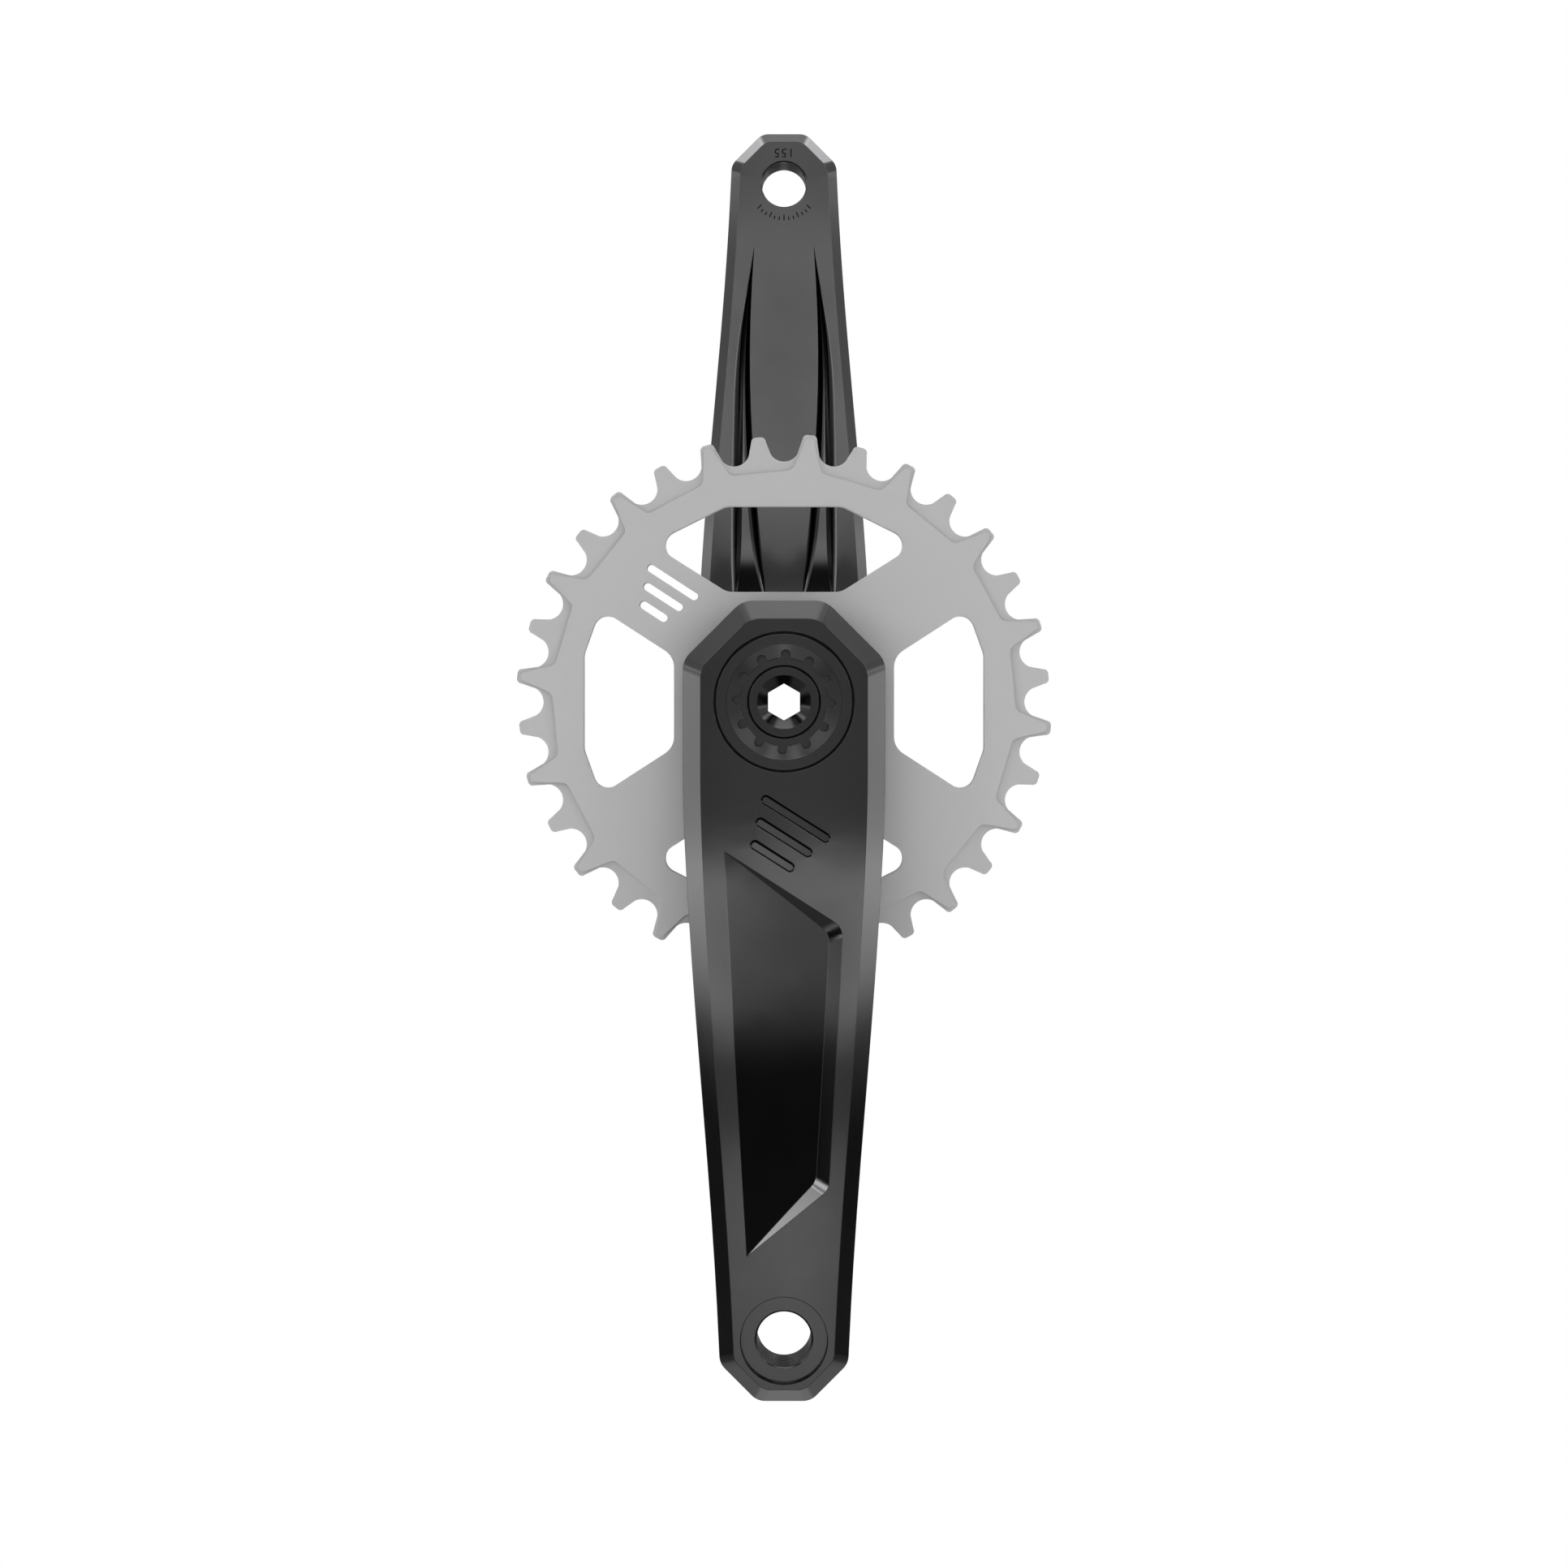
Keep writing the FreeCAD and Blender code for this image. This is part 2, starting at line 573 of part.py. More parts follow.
def head_corners(inset):
    """Head outline moved in by a bevel's width, from the lower left corner around."""
    half = mm("head_half") - inset
    top = mm("head_top") - inset
    reach = mm("head_half") + mm("head_top") - mm("head_cut") - inset * math.sqrt(2)
    rounding = mm("head_round")
    below = -mm("head_straight")
    right = [(reach - top, top, rounding), (half, reach - half, rounding), (half, below, 0)]
    left = [(-x, z, radius) for x, z, radius in reversed(right)]
    return left + right


def tip_corners(inset, rail):
    """Tip outline moved in by a bevel's width; its sides carry on along the rail."""
    before, last = rail[-2], rail[-1]
    slope = (before.x - last.x) / (before.z - last.z)
    start = -last.z
    end = mm("crank_length") + mm("pedal_reach") - inset
    reach = (mm("crank_length") + mm("pedal_reach") + mm("half_pedal")
             - mm("pedal_cut") - inset * math.sqrt(2))
    corner = (reach - last.x - slope * start) / (1 - slope)
    rounding = mm("pedal_round")
    right = [(last.x, last.z, 0), (last.x - slope * (corner - start), -corner, rounding),
             (reach - end, -end, rounding)]
    left = [(-x, z, radius) for x, z, radius in reversed(right)]
    return right + left


def bevelled_block(outlines, face, back):
    """Ruled loft from the outer face over both bevels to the inner face."""
    places = [-face, -(face - mm("bevel_depth")), -(back + mm("back_bevel_depth")), -back]
    wires = [rounded_wire(outline, place) for outline, place in zip(outlines, places)]
    return Part.makeLoft(wires, True, True)


def arm_blank():
    rails = arm_rails()
    head_outlines = [head_corners(inset) for inset in (mm("head_bevel"), 0, 0, mm("back_bevel"))]
    tip_insets = [("face", mm("pedal_bevel")), ("side_out", 0), ("side_in", 0), ("back", mm("back_bevel"))]
    tip_outlines = [tip_corners(inset, rails[name]) for name, inset in tip_insets]
    head = bevelled_block(head_outlines, mm("head_face"), evaluate(HEAD_BACK))
    tip = bevelled_block(tip_outlines, mm("pedal_face"), evaluate(PEDAL_BACK))
    return head.fuse([arm_taper(), tip]).removeSplitter()


def line_on_face(start, end, shift, lift):
    """Rail above a straight line of the outer face.

    The line runs through start and end, as (x, depth below the axle), is moved sideways
    by shift and lifted out of the face by lift, and spans the whole tapered part.
    """
    (x1, d1), (x2, d2) = start, end
    slope = (x2 - x1) / (d2 - d1)
    across = math.sqrt(1 + slope * slope)
    return [Vector(x1 + slope * (below - d1) + shift * across, -(face + lift), -below)
            for below, face in zip(taper_stations(), face_poles())]


def wall_side(start, end, sweep):
    """Everything on the pocket's side of a wall that follows the curved face."""
    bend = mm("pedal_face") - mm("head_face")
    above, under = bend + WALL_ABOVE, bend + WALL_BELOW
    slope = mm("pocket_wall_slope")
    high = spline(line_on_face(start, end, above * slope, above))
    low = spline(line_on_face(start, end, -under * slope, -under))
    return Part.makeRuledSurface(high, low).extrude(sweep)


def face_pocket():
    """Cutter for the pocket in the outer face: three sloped walls and an open side.

    Its floor is ruled from the open side, level with the face, to the foot of the wall
    on the other side, and runs a share past both.
    """
    open_top = (-mm("pocket_open_top_side"), mm("pocket_open_top"))
    open_end = (-mm("pocket_open_end_side"), mm("pocket_open_end"))
    wall_top = (mm("pocket_wall_top_side"), mm("pocket_wall_top"))
    wall_end = (mm("pocket_wall_end_side"), mm("pocket_wall_end"))
    depth = mm("pocket_depth")
    width = 2 * mm("head_half")
    length = 2 * mm("crank_length")
    open_side = line_on_face(open_top, open_end, 0, 0)
    foot_line = line_on_face(wall_top, wall_end, -depth * mm("pocket_wall_slope"), -depth)
    shallow, deep = [spline([start + (end - start) * share for start, end in zip(open_side, foot_line)])
                     for share in FLOOR_SPAN]
    cutter = Part.makeRuledSurface(shallow, deep).extrude(Vector(0, -width, 0))
    right = wall_side(wall_top, wall_end, Vector(-2 * width, 0, 0))
    upper = wall_side(open_top, wall_top, Vector(0, 0, -length))
    lower = wall_side(open_end, wall_end, Vector(0, 0, length))
    for wall in (right, upper, lower):
        cutter = cutter.common(wall)
    corners = [edge_through(cutter, x, below) for x, below in (wall_top, wall_end)]
    cutter = cutter.makeFillet(mm("pocket_round"), corners)
    floor = max(cutter.Faces, key=lambda face: face.CenterOfMass.y)
    open_edge = min(floor.Edges, key=lambda edge: edge.CenterOfMass.x)
    foot = [edge for edge in floor.Edges if not edge.isSame(open_edge)]
    return cutter.makeFillet(mm("pocket_foot_round"), foot)


def edge_through(shape, x, below):
    """The edge that meets the arm's outer face at a point given by x and depth."""
    point = Part.Vertex(Vector(x, -place_on(face_poles(), below), -below))
    return min(shape.Edges, key=lambda edge: edge.distToShape(point)[0])


def bar_cutters():
    """Three plain bars with sloped walls, stepped in length, beside the pocket's upper edge."""
    direction = math.atan2(mm("pocket_open_top") - mm("pocket_wall_top"),
                           mm("pocket_wall_top_side") + mm("pocket_open_top_side"))
    across = Vector(-math.sin(direction), 0, math.cos(direction))
    bars = []
    for index in range(3):
        centre = Vector(0, 0, -mm("bar_place")) + across * mm("bar_pitch") * (1 - index)
        length = mm("bar_length") - mm("bar_step") * index
        bars.append(sunk_bar(centre, direction, length))
    return bars


def sunk_bar(centre, direction, length):
    """Cutter for one bar, square to the bent face at the bar's middle."""
    wires = []
    for height in (mm("run_out"), -mm("bar_depth")):
        spread = 2 * (height + mm("bar_depth")) * mm("bar_wall_slope")
        corners = slot_corners(Vector(0, 0, 0), direction, length + spread, mm("bar_width") + spread)
        wires.append(rounded_wire(corners, -height))
    cutter = Part.makeLoft(wires, True, True)
    face = place_on(face_poles(), -centre.z)
    rise = place_on(face_poles(), -centre.z + 1) - face
    cutter.rotate(Vector(0, 0, 0), Vector(1, 0, 0), -math.degrees(math.atan(rise)))
    cutter.translate(centre + Vector(0, -face, 0))
    return cutter


def place_on(poles, below):
    """Distance of a bent face from the centre plane at a depth below the axle."""
    curve = spline([Vector(place, 0, depth) for place, depth in zip(poles, taper_stations())]).Curve
    share = min(max(along_arm(below), 0.0), 1.0)
    return curve.value(share * SPLINE_SPANS).x


def twin_pocket(sign):
    """Cutter for one of the pockets beside the spine of the inner face.

    Its rails run from the tip to the axle's end: up the outer wall, over the floor and
    the rounded foot, and up the spine's wall. Both ends rise out of the face.
    """
    side = mm("groove_tip_side")
    sections = []
    below_axle = stations(mm("groove_tip"), mm("groove_end"), GROOVE_SPANS)
    for below, near, far, share in zip(below_axle, SPINE_EDGE, RIM_EDGE, GROOVE_SINK):
        near = side + near * mm("spine_swell")
        far = side + far * mm("rim_swell") + GROOVE_TIP_GAP
        depth = share * mm("groove_depth")
        foot_round = max(share, GROOVE_LEAST) * mm("groove_foot_round")
        chamfer = share ** 2 * mm("groove_chamfer")
        place = place_on(back_poles(), below)
        section = groove_section(near, far, depth, foot_round, chamfer)
        sections.append([Vector(sign * x, -(place + sink), -below) for x, sink in section])
    return tube_of_rails([list(rail) for rail in zip(*sections)])


def groove_section(near, far, depth, foot_round, chamfer):
    """Section of a twin pocket as (x, depth) pairs, with a lip above the face."""
    inner_slope = mm("groove_inner_slope")
    chamfer_slope = mm("groove_chamfer_slope")
    corner = (near + depth * inner_slope, depth)
    up_wall = (corner[0] - foot_round * inner_slope, depth - foot_round)
    rim = far - chamfer * chamfer_slope
    outer_foot = rim - (depth - chamfer) * mm("groove_outer_slope")
    on_floor = (corner[0] + min(foot_round, GROOVE_ROOM * (outer_foot - corner[0])), depth)
    section = [(near - GROOVE_LIFT * inner_slope, -GROOVE_LIFT)]
    for step in range(FOOT_STEPS + 1):
        t = step / FOOT_STEPS
        section.append(tuple((1 - t) ** 2 * a + 2 * t * (1 - t) * b + t ** 2 * c
                             for a, b, c in zip(up_wall, corner, on_floor)))
    section.append((outer_foot, depth))
    section.append((rim, chamfer))
    section.append((far + GROOVE_LIFT * chamfer_slope, -GROOVE_LIFT))
    return section


def axle_bores(boss_end):
    """Bores for the cap, the bolt's flange, its shank and the spindle's splines."""
    face = mm("head_face")
    gap = mm("spline_gap")
    socket = spline_socket(mm("spline_root") + gap, mm("spline_tip") + gap, boss_end, evaluate(WEB_BACK))
    return [bore(mm("cap_bore"), face + mm("run_out"), evaluate(CAP_SHOULDER)),
            bore(mm("flange_bore"), face, evaluate(WEB_FACE)),
            bore(evaluate(WEB_HOLE), face, boss_end),
            socket]


def spline_socket(root, tip, start, end):
    """Space that the spindle's splined end fills in an arm."""
    number = count("spline_count")
    width = 2 * tip * math.sin(math.pi / number) - mm("spline_groove") + 2 * mm("spline_gap")
    shape = splined_prism(root, tip, width, number, start - mm("run_out"), end)
    shape.rotate(Vector(0, 0, 0), Vector(0, 1, 0), 180.0 / number)
    return shape


def pedal_bores():
    below = -mm("crank_length")
    outer, inner = mm("pedal_face"), evaluate(PEDAL_BACK)
    floor = outer - mm("pedal_seat_depth")
    radius, broken, past = mm("pedal_bore"), mm("edge_break"), mm("run_out")
    cutters = [bore(radius, outer + past, inner - past, z=below),
               bore(mm("pedal_seat"), outer + past, floor, z=below)]
    for place, outward in ((floor, 1), (inner, -1)):
        at = Vector(0, -place, below)
        cutters.append(Part.makeCone(radius + broken, radius, broken, at, Vector(0, outward, 0)))
    return cutters


def make_arm(boss, boss_end):
    """One arm in the drive arm's place, before its own details."""
    arm = arm_blank().fuse(boss)
    cutters = axle_bores(boss_end) + pedal_bores() + [face_pocket(), twin_pocket(1), twin_pocket(-1)]
    for cutter in cutters:
        arm = arm.cut(cutter)
    return arm


def arm_object(label, shape):
    if len(shape.Solids) == 1:
        shape = shape.Solids[0]
    arm = doc.addObject("Part::Feature", label)
    arm.Shape = shape
    return keep(arm, label)


def drive_boss():
    """Boss with splines for the chainring and a thread for its ring nut."""
    start = evaluate(HEAD_BACK) + mm("run_out")
    splines = splined_prism(mm("ring_spline_root"), mm("ring_spline_tip"), mm("ring_spline_width"),
                            count("ring_spline_count"), start, evaluate(RING_BACK) + mm("ring_spline_short"))
    thread = bore(mm("ring_thread"), start, evaluate(DRIVE_BOSS_END))
    return splines.fuse(thread)


def drive_arm():
    arm = make_arm(drive_boss(), evaluate(DRIVE_BOSS_END))
    for cutter in bar_cutters():
        arm = arm.cut(cutter)
    return arm_object("drive_arm", arm)


def left_arm():
    boss_end = evaluate(LEFT_BOSS_END)
    boss = bore(mm("adjuster_thread"), evaluate(HEAD_BACK) + mm("run_out"), boss_end)
    arm = make_arm(boss, boss_end)
    arm = arm.mirror(Vector(0, 0, 0), Vector(0, 1, 0))
    arm.rotate(Vector(0, 0, 0), Vector(0, 1, 0), 180.0)
    return arm_object("left_arm", arm)


# Spindle and the pieces at its ends


def spindle():
    end = SPINDLE_END
    inner = "(%s - sizes.bolt_bore_length)" % end
    taper = "(sizes.spindle_bore - sizes.bolt_bore)"
    points = [
        ("sizes.bolt_bore", "-" + end),
        ("sizes.spline_tip - sizes.edge_break", "-" + end),
        ("sizes.spline_tip", "-%s + sizes.edge_break" % end),
        ("sizes.spline_tip", "-" + DRIVE_BOSS_END),
        ("sizes.spindle_radius", "-" + DRIVE_BOSS_END),
        ("sizes.spindle_radius", LEFT_BOSS_END),
        ("sizes.spline_tip", LEFT_BOSS_END),
        ("sizes.spline_tip", "%s - sizes.edge_break" % end),
        ("sizes.spline_tip - sizes.edge_break", end),
        ("sizes.bolt_bore", end),
        ("sizes.bolt_bore", inner),
        ("sizes.spindle_bore", "%s - %s" % (inner, taper)),
        ("sizes.spindle_bore", "-%s + %s" % (inner, taper)),
        ("sizes.bolt_bore", "-" + inner),
    ]
    body = turned_body("spindle", points)
    for side, shoulder in ((DRIVE, DRIVE_BOSS_END), (LEFT, LEFT_BOSS_END)):
        half = "sizes.spline_groove / 2"
        outline = [
            ("sizes.spline_root", "-" + half),
            ("sizes.spline_tip + sizes.run_out", "-" + half),
            ("sizes.spline_tip + sizes.run_out", half),
            ("sizes.spline_root", half),
        ]
        name = SIDE_NAMES[side] + "_groove"
        length = "%s - %s" % (end, shoulder)
        cut = pocket(body, name, outline, side, end, length)
        polar(body, name + "s", [cut], count("spline_count"))
    return keep(body, "spindle")


def crank_bolt(side):
    """Hollow flanged bolt whose nose stands through the extractor cap."""
    def at(text):
        return "%d * (%s)" % (side, text)
    name = SIDE_NAMES[side] + "_bolt"
    end = "(%s - sizes.shank_length)" % FLANGE_BACK
    flat = "(sizes.%s_hexagon / 2)" % SIDE_NAMES[side]
    corner = "(%s / cos(30 deg))" % flat
    through = "(%s + sizes.through_gap)" % corner
    hex_start = "(%s - sizes.mouth_depth)" % NOSE_FACE
    hex_end = "(%s - sizes.hex_length)" % hex_start
    broken = "sizes.edge_break"
    points = [
        (through, at(end)),
        ("%s - %s" % (SHANK_RADIUS, broken), at(end)),
        (SHANK_RADIUS, at("%s + %s" % (end, broken))),
        (SHANK_RADIUS, at(FLANGE_BACK)),
        (FLANGE_RADIUS, at(FLANGE_BACK)),
        (FLANGE_RADIUS, at("%s - %s" % (FLANGE_FACE, broken))),
        ("%s - %s" % (FLANGE_RADIUS, broken), at(FLANGE_FACE)),
        ("sizes.nose_radius", at(FLANGE_FACE)),
        ("sizes.nose_radius", at("%s - sizes.fine_break" % NOSE_FACE)),
        ("sizes.nose_radius - sizes.fine_break", at(NOSE_FACE)),
        (MOUTH_RADIUS, at(NOSE_FACE)),
        (flat, at(hex_start)),
        (flat, at(hex_end)),
        (through, at("%s - sizes.hex_run_out" % hex_end)),
    ]
    body = turned_body(name, points)
    outline = []
    for angle in range(30, 390, 60):
        outline.append(("%s * cos(%d deg)" % (corner, angle), "%s * sin(%d deg)" % (corner, angle)))
    depth = "sizes.mouth_depth + sizes.hex_length + sizes.hex_run_out"
    pocket(body, name + "_hexagon", outline, side, NOSE_FACE, depth)
    return keep(body, SIDE_NAMES[side] + "_crank_bolt")


def bolt_washer(side):
    name = SIDE_NAMES[side] + "_bolt_washer"
    points = ring_points(WEB_HOLE, FLANGE_RADIUS, "%d * %s" % (side, WEB_FACE),
                         "%d * %s" % (side, FLANGE_BACK), "sizes.fine_break")
    return keep(turned_body(name, points), name)


def extractor_cap(side):
    """Threaded cap with a shallow dish and a lobed tool recess."""
    def at(text):
        return "%d * (%s)" % (side, text)
    name = SIDE_NAMES[side] + "_extractor_cap"
    lip_start = "%s - sizes.cap_lip_depth" % CAP_FACE
    points = [
        (CAP_HOLE, at(CAP_SHOULDER)),
        (CAP_THREAD + " - sizes.edge_break", at(CAP_SHOULDER)),
        (CAP_THREAD, at(CAP_SHOULDER + " + sizes.edge_break")),
        (CAP_THREAD, at(lip_start)),
        (CAP_LIP, at(lip_start)),
        (CAP_LIP, at(CAP_FACE + " - sizes.fine_break")),
        (CAP_LIP + " - sizes.fine_break", at(CAP_FACE)),
        ("sizes.dish_radius", at(CAP_FACE)),
        ("sizes.recess_radius", at(CAP_FACE + " - sizes.dish_depth")),
        ("sizes.recess_radius", at(RECESS_FLOOR)),
        (CAP_HOLE, at(RECESS_FLOOR)),
    ]
    body = turned_body(name, points)
    half = "sizes.lobe_width / 2"
    cut_in = "sizes.recess_radius - sizes.edge_break"
    straight = "sizes.lobe_reach - sizes.lobe_width / 2"
    outline = [(cut_in, "-" + half)]
    for angle in (-90, -75, -45, -15, 15, 45, 75, 90):
        outline.append(("%s + %s * cos(%d deg)" % (straight, half, angle),
                        "%s * sin(%d deg)" % (half, angle)))
    outline.append((cut_in, half))
    cut = pocket(body, name + "_lobe", outline, side, CAP_FACE, "sizes.recess_depth")
    polar(body, name + "_lobes", [cut], count("lobe_count"))
    body.Placement = FreeCAD.Placement(Vector(0, 0, 0), FreeCAD.Rotation(Vector(0, 1, 0), mm("lobe_turn")))
    return keep(body, name)


# Chainring


def tooth_outline(place):
    """Closed outline of all teeth: roller seats, flanks and rounded tips."""
    teeth = count("tooth_count")
    step = 2 * math.pi / teeth
    pitch_radius = mm("chain_pitch") / 2 / math.sin(step / 2)
    seat = mm("roller_seat")
    edges = []
    last = None
    first = None
    for index in range(teeth):
        tip = mm("tall_tip") if index % 2 else mm("short_tip")
        here = index * step
        section = tooth_points(pitch_radius, seat, tip, step)
        points = [turn_point(point, here, place) for point in section]
        seat_start, seat_middle, seat_end, low, round_one, top_one, top_two, round_two, high = points
        if last is not None:
            edges.append(Part.LineSegment(last, seat_start).toShape())
        else:
            first = seat_start
        edges.append(Part.Arc(seat_start, seat_middle, seat_end).toShape())
        edges.append(Part.LineSegment(seat_end, low).toShape())
        edges.append(Part.Arc(low, round_one, top_one).toShape())
        edges.append(Part.LineSegment(top_one, top_two).toShape())
        edges.append(Part.Arc(top_two, round_two, high).toShape())
        last = high
    edges.append(Part.LineSegment(last, first).toShape())
    return Part.Wire(edges)


def tooth_points(pitch_radius, seat, tip, step):
    """Points of one roller seat and the tooth after it, in polar order.

    A point is (along, across): along the radius through the seat's middle for the seat,
    and turned by half a step for the tooth.
    """
    open_angle = math.radians(mm("seat_half_angle"))
    seat_points = []
    for angle in (-open_angle, 0.0, open_angle):
        along = pitch_radius - seat * math.cos(angle)
        across = seat * math.sin(angle)
        seat_points.append((along, across))
    half = mm("tip_half")
    rounding = mm("tip_round")
    flat = half - rounding
    shoulder = tip - rounding
    middle = (tip - rounding * (1 - math.cos(math.pi / 4)), flat + rounding * math.sin(math.pi / 4))
    tooth = [(shoulder, -half), (middle[0], -middle[1]), (tip, -flat),
             (tip, flat), middle, (shoulder, half)]
    return seat_points + [rotate_pair(point, step / 2) for point in tooth]


def rotate_pair(point, angle):
    along, across = point
    return (along * math.cos(angle) - across * math.sin(angle),
            along * math.sin(angle) + across * math.cos(angle))


def turn_point(point, angle, place):
    along, across = rotate_pair(point, angle)
    return Vector(along, place, across)


def wide_tooth_outline(place):
    """Round plate with a finger up the middle of each wide tooth."""
    teeth = count("tooth_count")
    step = 2 * math.pi / teeth
    foot = (mm("relief_radius"), mm("finger_foot"), mm("finger_foot_round"))
    top = (mm("tall_tip") - mm("finger_short"), mm("finger_top"), mm("finger_top_round"))
    finger = [(along, side * half, rounding)
              for side, (along, half, rounding) in ((-1, foot), (-1, top), (1, top), (1, foot))]
    corners = []
    for index in range(1, teeth, 2):
        here = index * step + step / 2
        for along, across, rounding in finger:
            x, z = rotate_pair((along, across), here)
            corners.append((x, z, rounding))
    return rounded_wire(corners, place)


def side_window(sign):
    near, far = mm("window_inner"), mm("side_window_outer")
    peak, peak_half = mm("side_window_peak"), mm("side_window_peak_half")
    low, high = mm("side_window_low"), mm("side_window_high")
    half = [(near, low, mm("window_round")), (peak, peak_half, mm("window_peak_round")),
            (far, high, mm("window_round"))]
    other = [(x, -z, radius) for x, z, radius in reversed(half)]
    return [(sign * x, z, radius) for x, z, radius in half + other]


def end_window(sign):
    near, far = mm("window_inner"), mm("end_window_outer")
    peak, peak_half = mm("end_window_peak"), mm("end_window_peak_half")
    half = [(mm("end_window_near_half"), near, mm("window_round")),
            (peak_half, peak, mm("window_peak_round")),
            (mm("end_window_far_half"), far, mm("window_round"))]
    other = [(-x, z, radius) for x, z, radius in reversed(half)]
    return [(x, sign * z, radius) for x, z, radius in half + other]


def slot_set():
    """Plain slots, stepped in length, along one web."""
    direction = math.radians(mm("slot_angle"))
    middle = Vector(math.cos(direction), 0, math.sin(direction)) * mm("slot_place")
    along = math.radians(mm("slot_tilt"))
    across = Vector(-math.sin(along), 0, math.cos(along))
    slots = []
    for index in range(3):
        length = mm("slot_length") - mm("slot_step") * index
        centre = middle + across * mm("slot_pitch") * (index - 1)
        slots.append(slot_corners(centre, along, length, mm("slot_width")))
    return slots


def chainring():
    front = -evaluate(HEAD_BACK)
    thickness = mm("ring_width")
    back = front + thickness
    thin = mm("narrow_tooth")
    inset = (thickness - thin) / 2
    teeth = Part.Face(tooth_outline(front + inset)).extrude(Vector(0, thin, 0))
    envelope = Part.Face(tooth_outline(front)).extrude(Vector(0, thickness, 0))
    plate = Part.Face(wide_tooth_outline(front)).extrude(Vector(0, thickness, 0)).common(envelope)
    ring = teeth.fuse(plate)
    margin = mm("run_out")
    for corners in [side_window(1), side_window(-1), end_window(1), end_window(-1)] + slot_set():
        ring = ring.cut(prism(corners, front - margin, back + margin))
    gap = mm("ring_spline_gap")
    hub = splined_prism(mm("ring_spline_root") + gap, mm("ring_spline_tip") + gap,
                        mm("ring_spline_width") + 2 * gap, count("ring_spline_count"),
                        -front + margin, -back - margin)
    ring = ring.cut(hub)
    feature = doc.addObject("Part::Feature", "chainring")
    feature.Shape = ring.Solids[0]
    return keep(feature, "chainring")


def lockring_washer():
    points = ring_points(NUT_BORE, "sizes.nut_washer_radius", "-" + RING_BACK, "-" + NUT_START,
                         "sizes.fine_break")
    return keep(turned_body("lockring_washer", points), "lockring_washer")


def chainring_lockring():
    """Ring nut with notches around its rim."""
    points = ring_points(NUT_BORE, "sizes.nut_radius", "-" + NUT_START, "-" + NUT_END)
    body = turned_body("chainring_lockring", points)
    half = "sizes.nut_notch_width / 2"
    outline = [
        ("sizes.nut_radius - sizes.nut_notch_depth", "-" + half),
        ("sizes.nut_radius + sizes.run_out", "-" + half),
        ("sizes.nut_radius + sizes.run_out", half),
        ("sizes.nut_radius - sizes.nut_notch_depth", half),
    ]
    cut = pocket(body, "notch", outline, DRIVE, NUT_START, "sizes.nut_width")
    polar(body, "notches", [cut], count("nut_notch_count"))
    return keep(body, "chainring_lockring")


# Rings on the spindle


def sleeve_ring(name, outer, start, end, broken="sizes.edge_break"):
    return keep(turned_body(name, ring_points(SLEEVE_BORE, outer, start, end, broken)), name)


def bearing_shield(name, side, place):
    """Thin dished shield: a hub on the spindle and a rim beside the bearing."""
    def at(text):
        return "%d * (%s)" % (side, text)
    far = "%s - sizes.shield_width" % place
    hollow = "%s + sizes.shield_hollow" % far
    points = [
        (SLEEVE_BORE, at(place)),
        ("sizes.spacer_radius", at(place)),
        ("sizes.shield_radius", at("%s + sizes.shield_rim" % far)),
        ("sizes.shield_radius", at(far)),
        ("sizes.shield_radius - sizes.shield_lip", at(far)),
        ("sizes.spacer_radius - sizes.shield_lip", at(hollow)),
        (SLEEVE_BORE, at(hollow)),
    ]
    return keep(turned_body(name, points), name)


def drive_rings():
    first = DRIVE_BOSS_END
    second = "%s - sizes.spacer_width" % first
    third = "%s - sizes.shim_width" % second
    sleeve_ring("drive_spacer", "sizes.spacer_radius", "-" + first, "-(%s)" % second)
    sleeve_ring("drive_shim", "sizes.spacer_radius", "-(%s)" % second, "-(%s)" % third,
                "sizes.fine_break")
    bearing_shield("drive_bearing_shield", DRIVE, third)


def left_rings():
    washer = "%s - sizes.washer_gap" % ADJUSTER_LOW
    spacer = "%s - sizes.washer_width" % washer
    shield = "%s - sizes.spacer_width" % spacer
    sleeve_ring("thrust_washer", "sizes.washer_radius", washer, spacer, "sizes.fine_break")
    sleeve_ring("left_spacer", "sizes.spacer_radius", spacer, shield)
    bearing_shield("left_bearing_shield", LEFT, shield)


# Preload adjuster


def lug_frame():
    """Radial and tangential directions of the clamp lug."""
    angle = math.radians(mm("lug_angle"))
    return (Vector(math.cos(angle), 0, math.sin(angle)),
            Vector(-math.sin(angle), 0, math.cos(angle)))


def lug_block(near, far, half, start, end):
    """Box across the lug, from near to far along the radius."""
    radial, tangent = lug_frame()
    corners = []
    for along, across in ((near, -half), (far, -half), (far, half), (near, half)):
        point = radial * along + tangent * across
        corners.append((point.x, point.z, 0))
    return prism(corners, start, end)


